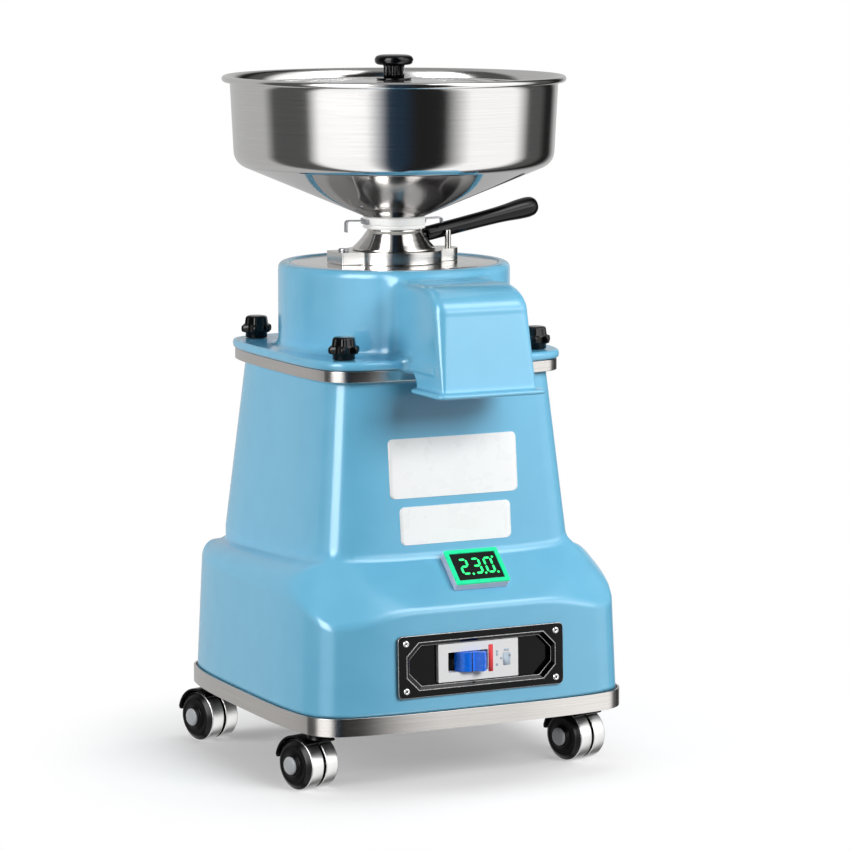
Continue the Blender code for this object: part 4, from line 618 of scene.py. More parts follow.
def bowed_wall(x, y, half_width, half_depth, corner, bow):
    """Distance outside an upright wall: a rounded rectangle whose sides bow outward."""
    across, along = np.abs(x), np.abs(y)
    side = np.minimum(along / (half_depth - corner), 1.0) ** 4
    front = np.minimum(across / (half_width - corner), 1.0) ** 4
    qx = across - half_width + corner + bow * side
    qy = along - half_depth + corner + bow * front
    return np.hypot(np.maximum(qx, 0), np.maximum(qy, 0)) + np.minimum(np.maximum(qx, qy), 0) - corner


def shoulder_face(out, z, low, high, bulge=SHOULDER_BULGE):
    """Distance outside a sloping shoulder face that runs from the skirt's edge up to the tower's foot."""
    run, rise = low[0] - high[0], high[1] - low[1]
    length = np.hypot(run, rise)
    past = ((out - low[0]) * rise + (z - low[1]) * run) / length
    share = np.clip(((low[0] - out) * run + (z - low[1]) * rise) / length**2, 0, 1)
    return past - bulge * 4 * share * (1 - share)


def cut_corner(x, y, z):
    """Distance outside the cut corner of the shoulder, the same on the left and the right."""
    dx, dy, dz = -np.abs(x) - FACET_TIP[0], y - FACET_TIP[1], z - FACET_TIP[2]
    past = dx * FACET_FACING[0] + dy * FACET_FACING[1] + dz * FACET_FACING[2]
    across = dx * FACET_ACROSS[0] + dy * FACET_ACROSS[1] + dz * FACET_ACROSS[2]
    share = np.where(across > 0, across / FACET_FRONT_REACH, -across / FACET_SIDE_REACH)
    fall = np.where(across > 0, FACET_FRONT_FALL, FACET_SIDE_FALL)
    return past + fall * np.minimum(share, FACET_FALL_LIMIT) ** 2


def stand_depth(x, y, z):
    """Distance outside the moulded stand: skirt, sloping shoulder with cut corners, tapered tower."""
    up = (z - housing_low) / SKIRT_HEIGHT
    half_width = SKIRT_HALF_WIDTH - SKIRT_DRAFT * up
    half_depth = SKIRT_HALF_DEPTH - SKIRT_DRAFT * up
    skirt = bowed_wall(x, y, half_width, half_depth, SKIRT_CORNER, SKIRT_BOW)
    front_bow = SKIRT_BOW * np.minimum(np.abs(x) / (SKIRT_HALF_WIDTH - SKIRT_CORNER), 1.0) ** 4
    side_bow = SKIRT_BOW * np.minimum(np.abs(y) / (SKIRT_HALF_DEPTH - SKIRT_CORNER), 1.0) ** 4
    top_width, top_depth = SKIRT_HALF_WIDTH - SKIRT_DRAFT, SKIRT_HALF_DEPTH - SKIRT_DRAFT
    fall = SHOULDER_REAR_FALL / (2 * TOWER_FOOT_HALF)
    crease = shoulder_top - fall * np.clip(y - SHAFT_Y + TOWER_FOOT_HALF, 0, 2 * TOWER_FOOT_HALF)
    side_low = shoulder_low + SHOULDER_SIDE_RISE
    rear_crease = shoulder_top - SHOULDER_REAR_FALL
    front_high = (TOWER_FOOT_HALF - SHAFT_Y, shoulder_top)
    front = shoulder_face(front_bow - y, z, (top_depth, shoulder_low), front_high, FRONT_BULGE)
    side = shoulder_face(np.abs(x) + side_bow, z, (top_width, side_low), (TOWER_FOOT_HALF, crease))
    rear = shoulder_face(y + front_bow, z, (top_depth, side_low), (TOWER_FOOT_HALF + SHAFT_Y, rear_crease))
    top = soft_max(soft_max(front, side, FACET_EDGE_SOFTNESS), rear, FACET_EDGE_SOFTNESS)
    top = soft_max(top, cut_corner(x, y, z), FACET_EDGE_SOFTNESS)
    body = soft_max(skirt, top, SKIRT_EDGE_SOFTNESS)
    rise = (z - shoulder_top) / TOWER_HEIGHT
    half = TOWER_FOOT_HALF + (TOWER_TOP_HALF - TOWER_FOOT_HALF) * np.maximum(rise, 0)
    corner = TOWER_FOOT_CORNER + (TOWER_TOP_CORNER - TOWER_FOOT_CORNER) * np.clip(rise, 0, 1)
    tower = bowed_wall(x, y - SHAFT_Y, half, half, corner, TOWER_BOW)
    return soft_min(body, tower, CREASE_SOFTNESS)


def stand_reach(angles, heights):
    """How far the stand reaches from its middle, in each direction and at each height."""
    shape = np.broadcast(angles, heights).shape
    near, far = (np.full(shape, limit) for limit in STAND_REACH_RANGE)
    for _ in range(REACH_HALVINGS):
        middle = (near + far) / 2
        outside = stand_depth(middle * np.cos(angles), STAND_AXIS_Y + middle * np.sin(angles), heights) > 0
        far = np.where(outside, middle, far)
        near = np.where(outside, near, middle)
    return (near + far) / 2


def octagon_holds(x, y, half_width, half_height, chamfer):
    """Whether a point lies inside a rectangle with cut corners."""
    x, y = abs(x), abs(y)
    return x < half_width and y < half_height and x + y < half_width + half_height - chamfer


def make_stand():
    """The moulded stand as one thin shell, with a window behind the switch panel."""
    angles = (np.arange(STAND_STEPS) * 2 * pi / STAND_STEPS)[None, :]
    below, above = shoulder_low - DENSE_ROWS_BELOW, shoulder_top + DENSE_ROWS_ABOVE
    spans = ((housing_low, below), (below, above), (above, tower_top))
    zones = [np.linspace(*span, rows) for span, rows in zip(spans, STAND_ROWS)]
    heights = np.unique(np.concatenate(zones))[:, None]
    reach = stand_reach(angles, heights)
    x = reach * np.cos(angles)
    y = STAND_AXIS_Y + reach * np.sin(angles)
    z = np.broadcast_to(heights, reach.shape)
    points = np.stack([x, y, z], axis=-1).reshape(-1, 3)
    faces = []
    for row in range(len(heights) - 1):
        for i in range(STAND_STEPS):
            j = (i + 1) % STAND_STEPS
            low, high = row * STAND_STEPS, (row + 1) * STAND_STEPS
            face = [low + i, low + j, high + j, high + i]
            middle = points[face].mean(axis=0)
            behind_panel = octagon_holds(middle[0], middle[2] - PANEL_Z, *PANEL_OPENING_HALF, WINDOW_CHAMFER)
            if not (middle[1] < PANEL_SIDE_Y and behind_panel):
                faces.append(face)
    shell = put("moulded_stand", mesh_of("moulded_stand", points, faces), shell_blue)
    modify(shell, "SOLIDIFY", thickness=HOUSING_WALL, offset=-1.0)
    dress(shell, "stand", "blue_shell", "lower_housing")


def spout_front(z):
    """How far forward of the shaft the spout's front wall stands, at a height below its brow."""
    brow_z = drum_top - SPOUT_TOP_DROP - SPOUT_BROW_DROP
    return SPOUT_REACH + SPOUT_FLARE * np.clip((brow_z - z) / (brow_z - spout_foot), 0, 1.2)


def spout_depth(x, forward, z, inset):
    """Distance outside the spout: a hood with a round brow, a slanting front and a hollow curve behind."""
    brow_z = drum_top - SPOUT_TOP_DROP - SPOUT_BROW_DROP
    crown = SPOUT_REACH - SPOUT_BROW_DEPTH
    depth, rise = SPOUT_BROW_DEPTH - inset, SPOUT_BROW_DROP - inset
    qx = np.maximum(forward - (spout_front(z) - SPOUT_REACH) - crown, 0) / depth
    qz = np.maximum(z - brow_z, 0) / rise
    round_part = np.hypot(qx, qz)
    slope = np.hypot(qx / depth, qz / rise) / np.maximum(round_part, 1e-6)
    brow = np.where(round_part > 1e-6, (round_part - 1) / np.maximum(slope, 1e-6), -min(depth, rise))
    side = np.abs(x) - (SPOUT_HALF_WIDTH - inset)
    growth = SPOUT_EDGE_GAIN * (z - spout_foot) / (brow_z - spout_foot)
    edge = np.clip(SPOUT_EDGE_LOW + growth, SPOUT_EDGE_LOW, SPOUT_EDGE_HIGH)
    hood = soft_max(brow, side, edge)
    over = flange_top if inset else flange_low
    reach, height = SPOUT_REAR_DEPTH + inset, over - spout_foot
    behind = np.minimum(reach, height) * (
        1 - np.hypot((forward - SPOUT_REAR) / reach, (z - spout_foot) / height)
    )
    back = np.where((z < over) & (forward < SPOUT_REAR), SPOUT_REAR - forward, behind)
    return soft_max(hood, back, SPOUT_BACK_EDGE)


def cover_depth(x, y, z):
    """Distance outside the chamber cover: bowed flange, drum and spout in one moulding, hollow inside."""
    side = y - SHAFT_Y
    forward = -side
    reach = np.hypot(x, side)
    flange = bowed_wall(x, side, FLANGE_HALF, FLANGE_HALF, FLANGE_CORNER, FLANGE_BOW)
    middle, half = (flange_low + flange_top) / 2, (flange_top - flange_low) / 2
    flange = soft_max(flange, np.abs(z - middle) - half, FLANGE_EDGE)
    drum = soft_max(reach - DRUM_RADIUS, z - drum_top, DRUM_EDGE)
    drum = np.maximum(drum, middle - z)
    body = soft_min(flange, drum, DRUM_ROOT)
    spout = spout_depth(x, forward, z, 0.0)
    spout = np.maximum(spout, spout_foot - z)
    spout = np.maximum(spout, DRUM_RADIUS / 2 - forward)
    ledge = np.maximum(np.abs(z - middle) - half + LEDGE_INSET, np.abs(x) - SPOUT_HALF_WIDTH - SPOUT_LEDGE)
    ledge = np.maximum(np.maximum(ledge, forward - SPOUT_REACH + LEDGE_SETBACK), DRUM_RADIUS - forward)
    spout = soft_min(spout, ledge, LEDGE_ROOT)
    body = soft_min(body, spout, SPOUT_ROOT)
    lip_middle = (LIP_REAR + spout_front(spout_foot) + LIP_PROUD) / 2
    lip_half = spout_front(spout_foot) + LIP_PROUD - lip_middle
    lip = bowed_wall(x, forward - lip_middle, SPOUT_HALF_WIDTH + LIP_PROUD, lip_half, LIP_CORNER, 0.0)
    lip = soft_max(lip, np.abs(z - spout_foot - LIP_THICKNESS / 2) - LIP_THICKNESS / 2, LIP_EDGE)
    body = soft_min(body, lip, LIP_ROOT)
    chamber = np.maximum(reach - DRUM_RADIUS + DRUM_WALL, z - (drum_top - CHAMBER_ROOF))
    chute = np.maximum(spout_depth(x, forward, z, SPOUT_WALL), DRUM_RADIUS - 3 * DRUM_WALL - forward)
    hollow = np.minimum(chamber, chute)
    disc = np.maximum(reach - DISC_RADIUS - SEAT_GAP, (drum_top - DISC_SINK) - z)
    sleeve = reach - SLEEVE_HOLE
    body = soft_max(body, -disc, DISC_EDGE)
    return np.maximum(np.maximum(body, -hollow), -sleeve)


def moulded_skin(depth, low, high, cell):
    """Mesh the surface where a depth is zero, with one point in each cell that it crosses."""
    counts = [int(np.ceil((b - a) / cell)) + 1 for a, b in zip(low, high)]
    axes = [a + cell * np.arange(n) for a, n in zip(low, counts)]
    value = np.empty(counts, np.float32)
    for i, x in enumerate(axes[0]):
        y, z = np.meshgrid(axes[1], axes[2], indexing="ij")
        value[i] = depth(np.full(y.shape, x), y, z)
    inside = value < 0
    corners = [(i, j, k) for i in (0, 1) for j in (0, 1) for k in (0, 1)]
    found = np.zeros([count - 1 for count in counts], np.int8)
    for i, j, k in corners:
        found += inside[i : counts[0] - 1 + i, j : counts[1] - 1 + j, k : counts[2] - 1 + k]
    crossed = (found > 0) & (found < 8)
    cells = np.argwhere(crossed)
    number = np.full(crossed.shape, -1, np.int64)
    number[crossed] = np.arange(len(cells))
    offsets = np.array(corners)
    at_corner = [value[tuple((cells + offset).T)] for offset in offsets]
    total, hits = np.zeros((len(cells), 3)), np.zeros(len(cells))
    for a in range(8):
        for b in range(a + 1, 8):
            if np.abs(offsets[a] - offsets[b]).sum() != 1:
                continue
            crossing = (at_corner[a] < 0) != (at_corner[b] < 0)
            share = at_corner[a][crossing] / (at_corner[a][crossing] - at_corner[b][crossing])
            total[crossing] += offsets[a] + share[:, None] * (offsets[b] - offsets[a])
            hits[crossing] += 1
    points = np.array(low) + cell * (cells + total / hits[:, None])
    faces = []
    for axis in range(3):
        u, v = (axis + 1) % 3, (axis + 2) % 3
        first = inside.take(range(counts[axis] - 1), axis=axis)
        second = inside.take(range(1, counts[axis]), axis=axis)
        spots = np.argwhere(first != second)
        kept = (spots[:, u] > 0) & (spots[:, v] > 0) & (
            spots[:, u] < counts[u] - 1
        ) & (spots[:, v] < counts[v] - 1)
        spots = spots[kept]
        step_u, step_v = np.eye(3, dtype=int)[u], np.eye(3, dtype=int)[v]
        around = [spots - step_u - step_v, spots - step_v, spots, spots - step_u]
        quads = np.stack([number[tuple(s.T)] for s in around], axis=1)
        leaving = first[tuple(spots.T)]
        quads[~leaving] = quads[~leaving][:, ::-1]
        faces.append(quads)
    faces = np.concatenate(faces)
    for _ in range(3):
        points = settled(depth, relaxed(points, faces), cell)
    return points, faces


def relaxed(points, faces):
    """Move each point halfway to the middle of its neighbours."""
    total, count = np.zeros(points.shape), np.zeros(len(points))
    for a, b in ((0, 1), (1, 2), (2, 3), (3, 0)):
        for one, other in ((a, b), (b, a)):
            for axis in range(3):
                total[:, axis] += np.bincount(faces[:, one], points[faces[:, other], axis], len(points))
            count += np.bincount(faces[:, one], minlength=len(points))
    return (points + total / np.maximum(count, 1)[:, None]) / 2


def settled(depth, points, cell):
    """Move points onto the surface, along the way that the depth falls."""
    for _ in range(2):
        here = depth(*points.T)
        step = cell / 20
        slope = np.stack([(depth(*(points + step * e).T) - here) / step for e in np.eye(3)], axis=1)
        size = np.maximum((slope**2).sum(axis=1), 0.25)
        move = -(here / size)[:, None] * slope
        length = np.linalg.norm(move, axis=1)
        move *= np.minimum(1, cell / 2 / np.maximum(length, 1e-9))[:, None]
        points = points + move
    return points


def make_cover():
    """The chamber cover, meshed from its depth within a box a little larger than it."""
    low = (-FLANGE_HALF - COVER_MARGIN, SHAFT_Y - COVER_FRONT, spout_foot - COVER_MARGIN)
    high = (FLANGE_HALF + COVER_MARGIN, SHAFT_Y + FLANGE_HALF + COVER_MARGIN, drum_top + COVER_MARGIN)
    points, faces = moulded_skin(cover_depth, low, high, COVER_CELL)
    cover = put("moulded_chamber_cover", mesh_of("moulded_chamber_cover", points, faces.tolist()), shell_blue)
    dress(cover, "stand", "blue_shell", "chamber_cover")


# Steel trim and plates


def bowed_outline(half_width, half_depth, corner, bow, corner_steps=14, side_steps=20):
    """A rounded rectangle whose sides bow outward, counter-clockwise, as fine as the eye needs."""
    lean = atan2(4 * bow, min(half_width, half_depth) - corner)
    inset = bow + corner * cos(lean)
    points = []
    for quarter, (sx, sy) in enumerate(((1, -1), (1, 1), (-1, 1), (-1, -1))):
        turn = quarter * pi / 2
        middle = (sx * (half_width - inset), sy * (half_depth - inset))
        points += arc(middle, (corner, corner), turn - pi / 2 + lean, turn - lean, corner_steps)
        upright = quarter % 2 == 0
        reach = half_width if upright else half_depth
        run = (half_depth if upright else half_width) - inset + corner * sin(lean)
        for k in range(1, side_steps):
            share = 2 * k / side_steps - 1
            out = reach - bow * abs(share) ** 4
            points.append(tuple(Vector((out, share * run)) @ Matrix.Rotation(-turn, 2)))
    return points


BASE_CORNER = 0.0380
BASE_BAND_THICKNESS = 0.0020
PLATE_HOLE_RADIUS = 0.0160
STUD_SINK = 0.0020
DISC_GROOVE = ((0.0750, 0.0), (0.0735, -0.0003), (0.0720, 0.0))


def make_trim():
    """The steel band round the base, and the chamber plate whose edge shows as the upper band."""
    low, high = node_span("base_band")
    outer = bowed_outline(high.x, high.y, BASE_CORNER, SKIRT_BOW)
    inset = BASE_BAND_THICKNESS
    inner = bowed_outline(high.x - inset, high.y - inset, BASE_CORNER - inset, SKIRT_BOW)
    band = plate("base_trim_band", [outer, inner], high.z - low.z, trim_steel, at(z=low.z))
    dress(bevelled(band, 0.0006, 2), "stand", "brushed_steel", "base_band")

    half = FLANGE_HALF - CHAMBER_PLATE_INSET
    edge = bowed_outline(half, half, FLANGE_CORNER - CHAMBER_PLATE_INSET, FLANGE_BOW)
    chamber = plate(
        "chamber_plate_edge",
        [edge, circle(PLATE_HOLE_RADIUS)],
        plate_top - plate_low,
        trim_steel,
        at(y=SHAFT_Y, z=plate_low),
    )
    bevelled(chamber, 0.0007, 2)
    studs = []
    stud_top = level("chamber_plate", top=True)
    for x in (-STUD_SPREAD, STUD_SPREAD):
        for y in (-STUD_SPREAD, STUD_SPREAD):
            root = plate_top - STUD_SINK
            line = [(0, stud_top), (STUD_RADIUS, stud_top), (STUD_RADIUS, root), (0, root)]
            profile = softened(line, 0.0006)
            studs.append(turned("stud", profile, trim_steel, at(x=x, y=SHAFT_Y + y), steps=24, closed=False))
    dress(merged("chamber_plate_with_studs", chamber, *studs), "stand", "brushed_steel", "chamber_plate")

    low, top = level("top_disc"), level("top_disc", top=True)
    profile = [(DISC_RADIUS, low), (DISC_RADIUS, top)] + [
        (radius, top + sink) for radius, sink in DISC_GROOVE
    ]
    profile += [(SLEEVE_HOLE, top), (SLEEVE_HOLE, low)]
    disc = turned(
        "sunk_top_disc", softened(profile, 0.0004, closed=True, steps=2), spun_steel, at(y=SHAFT_Y), steps=128
    )
    dress(disc, "stand", "brushed_steel", "top_disc")


# Clamp knobs


# A clamp knob's levels from its neck up: radius, how far the lobes stand out, and height
KNOB_LEVELS = (
    (0.0098, 0.0000, 0.0000),
    (0.0112, 0.0000, 0.0008),
    (0.0110, 0.0000, 0.0052),
    (0.0121, 0.0018, 0.0058),
    (0.0126, 0.0036, 0.0068),
    (0.0127, 0.0040, 0.0096),
    (0.0126, 0.0036, 0.0124),
    (0.0121, 0.0018, 0.0134),
    (0.0112, 0.0016, 0.0142),
    (0.0102, 0.0016, 0.0204),
    (0.0096, 0.0012, 0.0217),
    (0.0082, 0.0006, 0.0223),
    (0.0055, 0.0000, 0.0225),
)


def lobed_ring(radius, lobe, z, power, count=6, steps=72):
    """One level of a lobed knob: a circle that swells out in even lobes."""
    ring = []
    for i in range(steps):
        angle = 2 * pi * i / steps
        swell = (0.5 + 0.5 * cos(count * angle)) ** power
        r = radius + lobe * swell
        ring.append((r * cos(angle), r * sin(angle), z))
    return ring


def make_clamp_knobs():
    """Four moulded knobs: round neck, six finger lobes half way up, and a narrower ribbed crown."""
    for side, x in (("left", -STUD_SPREAD), ("right", STUD_SPREAD)):
        for end, y in (("front", -STUD_SPREAD), ("rear", STUD_SPREAD)):
            name = f"clamp_knob_{side}_{end}"
            rings = [lobed_ring(*sizes, power=1.4) for sizes in KNOB_LEVELS]
            knob = lofted(name + "_lobed", rings, phenolic, at(x, SHAFT_Y + y, level(name)))
            modify(knob, "WEIGHTED_NORMAL")
            dress(knob, name, "black_plastic", name)


# Adjuster, lever and feed ring


ADJUSTER_BORE = 0.0246
EAR_BOLT_X = -0.0560
EAR_CORNER = 0.0012
STOP_PIN_X = 0.0605
STOP_PIN_RADIUS = 0.0032
BOLT_SHANK = 0.0030
BOLT_HEAD = 0.0052
BOLT_SOCKET = 0.0026
BOLT_STEPS = 36
LEVER_TURN = 9.5
LEVER_RISE = 9.3
LEVER_ROOT_RADIUS = 0.0270
LEVER_ROOT_HEIGHT = 0.0112


def ear_outline():
    """The adjuster flange from above: a disc with a square ear on its left and a round boss on its right."""
    radius, half, ear, boss = 0.0490, 0.0185, 0.0660, 0.0510
    meet = atan2(half, sqrt(radius**2 - half**2))
    points = arc((0, 0), (radius, radius), meet, pi - meet, 48)
    points += arc((-ear + EAR_CORNER, half - EAR_CORNER), (EAR_CORNER, EAR_CORNER), pi / 2, pi, 4)
    points += arc((-ear + EAR_CORNER, -half + EAR_CORNER), (EAR_CORNER, EAR_CORNER), pi, 1.5 * pi, 4)
    points += arc((0, 0), (radius, radius), pi + meet, 2 * pi - meet, 48)
    points += arc((boss, 0), (half, half), -pi / 2, pi / 2, 24)
    return points


def make_adjuster():
    """The eared flange with its stop pin and socket bolt, the feed cone, and the lever's tapered grip."""
    low, high = node_span("adjuster_flange")
    holes = [circle(ADJUSTER_BORE), circle(0.0034, 24, (EAR_BOLT_X, 0)), circle(0.0036, 24, (STOP_PIN_X, 0))]
    loops = [ear_outline()] + holes
    flange = plate("adjuster_flange_eared", loops, high.z - low.z, milled_steel, at(y=SHAFT_Y, z=low.z))
    dress(bevelled(flange, 0.0006, 2), "stand", "polished_steel", "adjuster_flange")

    pin_low, pin_high = level("stop_pin"), level("stop_pin", top=True)
    line = [(0, pin_high), (STOP_PIN_RADIUS, pin_high), (STOP_PIN_RADIUS, pin_low), (0, pin_low)]
    place = at(STOP_PIN_X, SHAFT_Y)
    pin = turned("stop_pin_round", softened(line, 0.0007), faced_steel, place, steps=32, closed=False)
    dress(pin, "stand", "polished_steel", "stop_pin")

    bolt_low, bolt_high = level("ear_bolt"), level("ear_bolt", top=True)
    head = bolt_high - high.z
    seat = high.z + SEAT_GAP
    levels = [(BOLT_SHANK, bolt_low), (BOLT_SHANK, seat), (BOLT_HEAD, seat)]
    levels += [(BOLT_HEAD, bolt_high - 0.0006), (BOLT_HEAD - 0.0006, bolt_high)]
    rings = [[(x, y, z) for x, y in circle(radius, BOLT_STEPS)] for radius, z in levels]
    socket = [Vector(corner) for corner in circle(BOLT_SOCKET, 6)]
    hexagon = [socket[k // 6].lerp(socket[(k // 6 + 1) % 6], (k % 6) / 6) for k in range(BOLT_STEPS)]
    rings.append([(p.x, p.y, bolt_high) for p in hexagon])
    rings.append([(p.x, p.y, bolt_high - head * 0.7) for p in hexagon])
    bolt = lofted("ear_socket_bolt", rings, zinc, at(EAR_BOLT_X, SHAFT_Y))
    bevelled(bolt, 0.0002, 1)
    dress(bolt, "stand", "polished_steel", "ear_bolt")

    cone_low, cone_high = level("feed_cone"), level("feed_cone", top=True)
    outside = [(0.0420, cone_low), (0.0420, cone_low + 0.0016)]
    outside += [(0.0372, cone_low + 0.0062), (0.0322, cone_low + 0.0118), (0.0284, cone_low + 0.0172)]
    outside += [(0.0268, cone_high - 0.0018), (0.0268, cone_high)]
    bore = [(0.0185, cone_high), (0.0185, cone_low + 0.0010), (ADJUSTER_BORE, cone_low)]
    profile = softened(outside + bore, 0.0009, closed=True, steps=4)
    cone = turned("polished_feed_cone", profile, faced_steel, at(y=SHAFT_Y), steps=128)
    dress(cone, "adjuster", "polished_steel", "feed_cone")

    turn = radians(LEVER_TURN)
    lean = Matrix.Rotation(turn, 4, "Z") @ Matrix.Rotation(pi / 2 - radians(LEVER_RISE), 4, "Y")
    root_x, root_y = LEVER_ROOT_RADIUS * cos(turn), SHAFT_Y + LEVER_ROOT_RADIUS * sin(turn)
    root = at(root_x, root_y, cone_low + LEVER_ROOT_HEIGHT) @ lean
    grip = [(0.0000, 0.1530), (0.0052, 0.1528), (0.0080, 0.1512), (0.0098, 0.1480), (0.0105, 0.1430)]
    grip += [(0.0105, 0.1370), (0.0101, 0.1290), (0.0094, 0.1210), (0.0088, 0.1130), (0.0083, 0.1020)]
    grip += [(0.0079, 0.0800), (0.0077, 0.0560), (0.0076, 0.0320), (0.0075, 0.0130), (0.0070, 0.0118)]
    grip += [(0.0038, 0.0118), (0.0038, 0.1370), (0.0000, 0.1370)]
    handle = turned("tapered_lever_grip", grip, phenolic, root, steps=48, closed=False)
    dress(handle, "adjuster", "black_plastic", "lever_grip")


FEED_RING_RADIUS = 0.0314
FEED_RING_BORE = 0.0253
CLIP_THICKNESS = 0.0018
CLIP_HEIGHT = 0.0050
CLIP_LAP = 12


def bent_strip(name, line, width, thickness, material, where):
    """A strip of sheet bent along a line of (x, z) points, of a width across it."""
    sides = []
    for i, (x, z) in enumerate(line):
        before, after = Vector(line[max(i - 1, 0)]), Vector(line[min(i + 1, len(line) - 1)])
        along = (after - before).normalized()
        normal = Vector((-along.y, along.x)) * thickness / 2
        sides.append((Vector((x, z)) + normal, Vector((x, z)) - normal))
    rings = []
    half = width / 2
    for over, under in sides:
        outer = [(over.x, -half, over.y), (over.x, half, over.y)]
        rings.append(outer + [(under.x, half, under.y), (under.x, -half, under.y)])
    strip = lofted(name, rings, material, where)
    return bevelled(strip, thickness * 0.28, 2)


def make_feed_ring():
    """The white ring with a thin groove, and its steel clip: a spring half-band and two hooked tabs."""
    outer, bore = FEED_RING_RADIUS, FEED_RING_BORE
    profile = [
        (bore, ring_low), (outer, ring_low), (outer, ring_low + 0.0026), (outer - 0.0006, ring_low + 0.0030)
    ]
    profile += [
        (outer - 0.0006, ring_low + 0.0036), (outer, ring_low + 0.0040), (outer, ring_top), (bore, ring_top)
    ]
    ring = turned(
        "white_feed_ring", softened(profile, 0.0008, closed=True, steps=3), acetal, at(y=SHAFT_Y), steps=128
    )
    dress(ring, "feed_ring_set", "white_plastic", "feed_ring")

    clip_top = ring_top - 0.0018
    inner = outer + SEAT_GAP
    lap = radians(CLIP_LAP)
    band = arc((0, 0), (inner + CLIP_THICKNESS,) * 2, -lap, pi + lap, 48)
    band += arc((0, 0), (inner, inner), pi + lap, -lap, 48)
    half_band = plate("clip_band", [band], CLIP_HEIGHT, zinc, at(y=SHAFT_Y, z=clip_top - CLIP_HEIGHT))
    bevelled(half_band, 0.0004, 2)
    middle = clip_top - 0.0013
    tabs = []
    for side, hook in ((-1, 0.0110), (1, 0.0050)):
        line = [
            (side * (inner + 0.0002), middle - 0.0004),
            (side * 0.0380, middle),
            (side * 0.0460, middle + 0.0003),
        ]
        line += [(side * 0.0531, middle + 0.0003), (side * 0.0531, middle - hook)]
        bend = [(line[0][0], line[0][1])] + softened(line, 0.0030, steps=6)[1:]
        tabs.append(bent_strip("clip_tab", bend, 0.0060, 0.0016, zinc, at(y=SHAFT_Y)))
    dress(merged("bent_ring_clip", half_band, *tabs), "feed_ring_set", "polished_steel", "feed_ring_clip")


# Hopper, lid and knob


def make_hopper():
    """The spun hopper from one sheet: spigot, foot, cone, soft corner, tall wall and rolled rim."""
    spigot_low = level("hopper")
    line = [(SPIGOT_RADIUS, spigot_low), (SPIGOT_RADIUS, hopper_low), (HOPPER_FOOT_RADIUS, hopper_low)]
    line += [
        (HOPPER_FOOT_RADIUS + 0.0006, cone_foot),
        (HOPPER_BASE_RADIUS, wall_foot),
        (HOPPER_TOP_RADIUS, wall_top),
    ]
    body = [line[0]] + softened(line[:4], 0.0006, steps=3)[1:-1]
    body += softened(line[3:], 0.0110, steps=10)[:-1]
    roll = (RIM_RADIUS - RIM_ROLL, rim_top - RIM_ROLL)
    flare = [(HOPPER_TOP_RADIUS, wall_top - 0.0040), (HOPPER_TOP_RADIUS + 0.0004, wall_top + 0.0045)]
    flare.append((roll[0] - 0.0012, rim_top))
    body += softened(flare, 0.0060, steps=8) + arc(roll, (RIM_ROLL, RIM_ROLL), pi / 2, -0.95 * pi, 18)
    hopper = turned("spun_hopper", body, [spun_steel, buffed_steel], at(y=SHAFT_Y), steps=160, closed=False)
    for polygon in hopper.data.polygons:
        polygon.material_index = int(cone_foot < polygon.center.z < wall_foot - 0.0010)
    modify(hopper, "SOLIDIFY", thickness=SHEET * 0.8, offset=-1.0)
    dress(hopper, "hopper", "brushed_steel", "hopper")


def make_lid():
    """The pressed lid with its raised rings, and the mushroom knob on a fluted stem."""
    low, high = node_span("hopper_lid")
    edge, brim, crown = high.x, low.z + SHEET, high.z
    line = [(edge, brim), (edge - 0.0070, brim), (edge - 0.0125, brim + 0.0034), (0.1400, crown - 0.0040)]
    line += [
        (0.1370, crown - 0.0030), (0.1340, crown - 0.0038), (0.1050, crown - 0.0026), (0.1020, crown - 0.0016)
    ]
    line += [
        (0.0990, crown - 0.0026), (0.0820, crown - 0.0020), (0.0800, crown - 0.0014), (0.0520, crown - 0.0014)
    ]
    line += [(0.0460, crown), (0.0000, crown)]
    lid = turned(
        "pressed_lid", softened(line, 0.0030, steps=4), spun_steel, at(y=SHAFT_Y), steps=160, closed=False
    )
    modify(lid, "SOLIDIFY", thickness=SHEET, offset=-1.0)
    dress(lid, "lid", "brushed_steel", "hopper_lid")

    foot, top = level("lid_knob"), level("lid_knob", top=True)
    base = [(0, foot), (0.0175, foot), (0.0178, foot + 0.0018), (0.0060, foot + 0.0024), (0, foot + 0.0024)]
    cap_low = top - 0.0108
    cap = [(0.0, cap_low), (0.0120, cap_low), (0.0172, cap_low + 0.0006), (0.0193, cap_low + 0.0032)]
    cap += [(0.0195, cap_low + 0.0058), (0.0180, cap_low + 0.0090), (0.0135, top - 0.0004), (0.0, top)]
    stem = [
        lobed_ring(0.0078, 0.0034, z, power=0.7) for z in (foot + 0.0020, foot + 0.0060, cap_low - 0.0020)
    ]
    stem.append(lobed_ring(0.0100, 0.0020, cap_low + 0.0006, power=0.7))
    parts = [
        turned("knob_base", softened(base, 0.0007), phenolic, at(y=SHAFT_Y), steps=64, closed=False),
        lofted("knob_stem", stem, phenolic, at(y=SHAFT_Y)),
        turned("knob_cap", softened(cap, 0.0026, steps=5), phenolic, at(y=SHAFT_Y), steps=64, closed=False),
    ]
    dress(merged("mushroom_knob", *parts), "lid", "black_plastic", "lid_knob")


# Casters


CASTERS = ("left_front", "right_front", "left_rear", "right_rear")
CASTER_TURN = 16
TYRE_FACE_RADIUS = 0.0243
AXLE_HALF = 0.0258
HOOD_INNER = 0.0269
HOOD_OUTER = 0.0289
HOOD_START = 12
HOOD_END = 128
HOOD_WIDTH = 0.0379
WEB_INNER = 0.0225
WEB_THICKNESS = 0.0022
BOSS_RISE = 0.0262


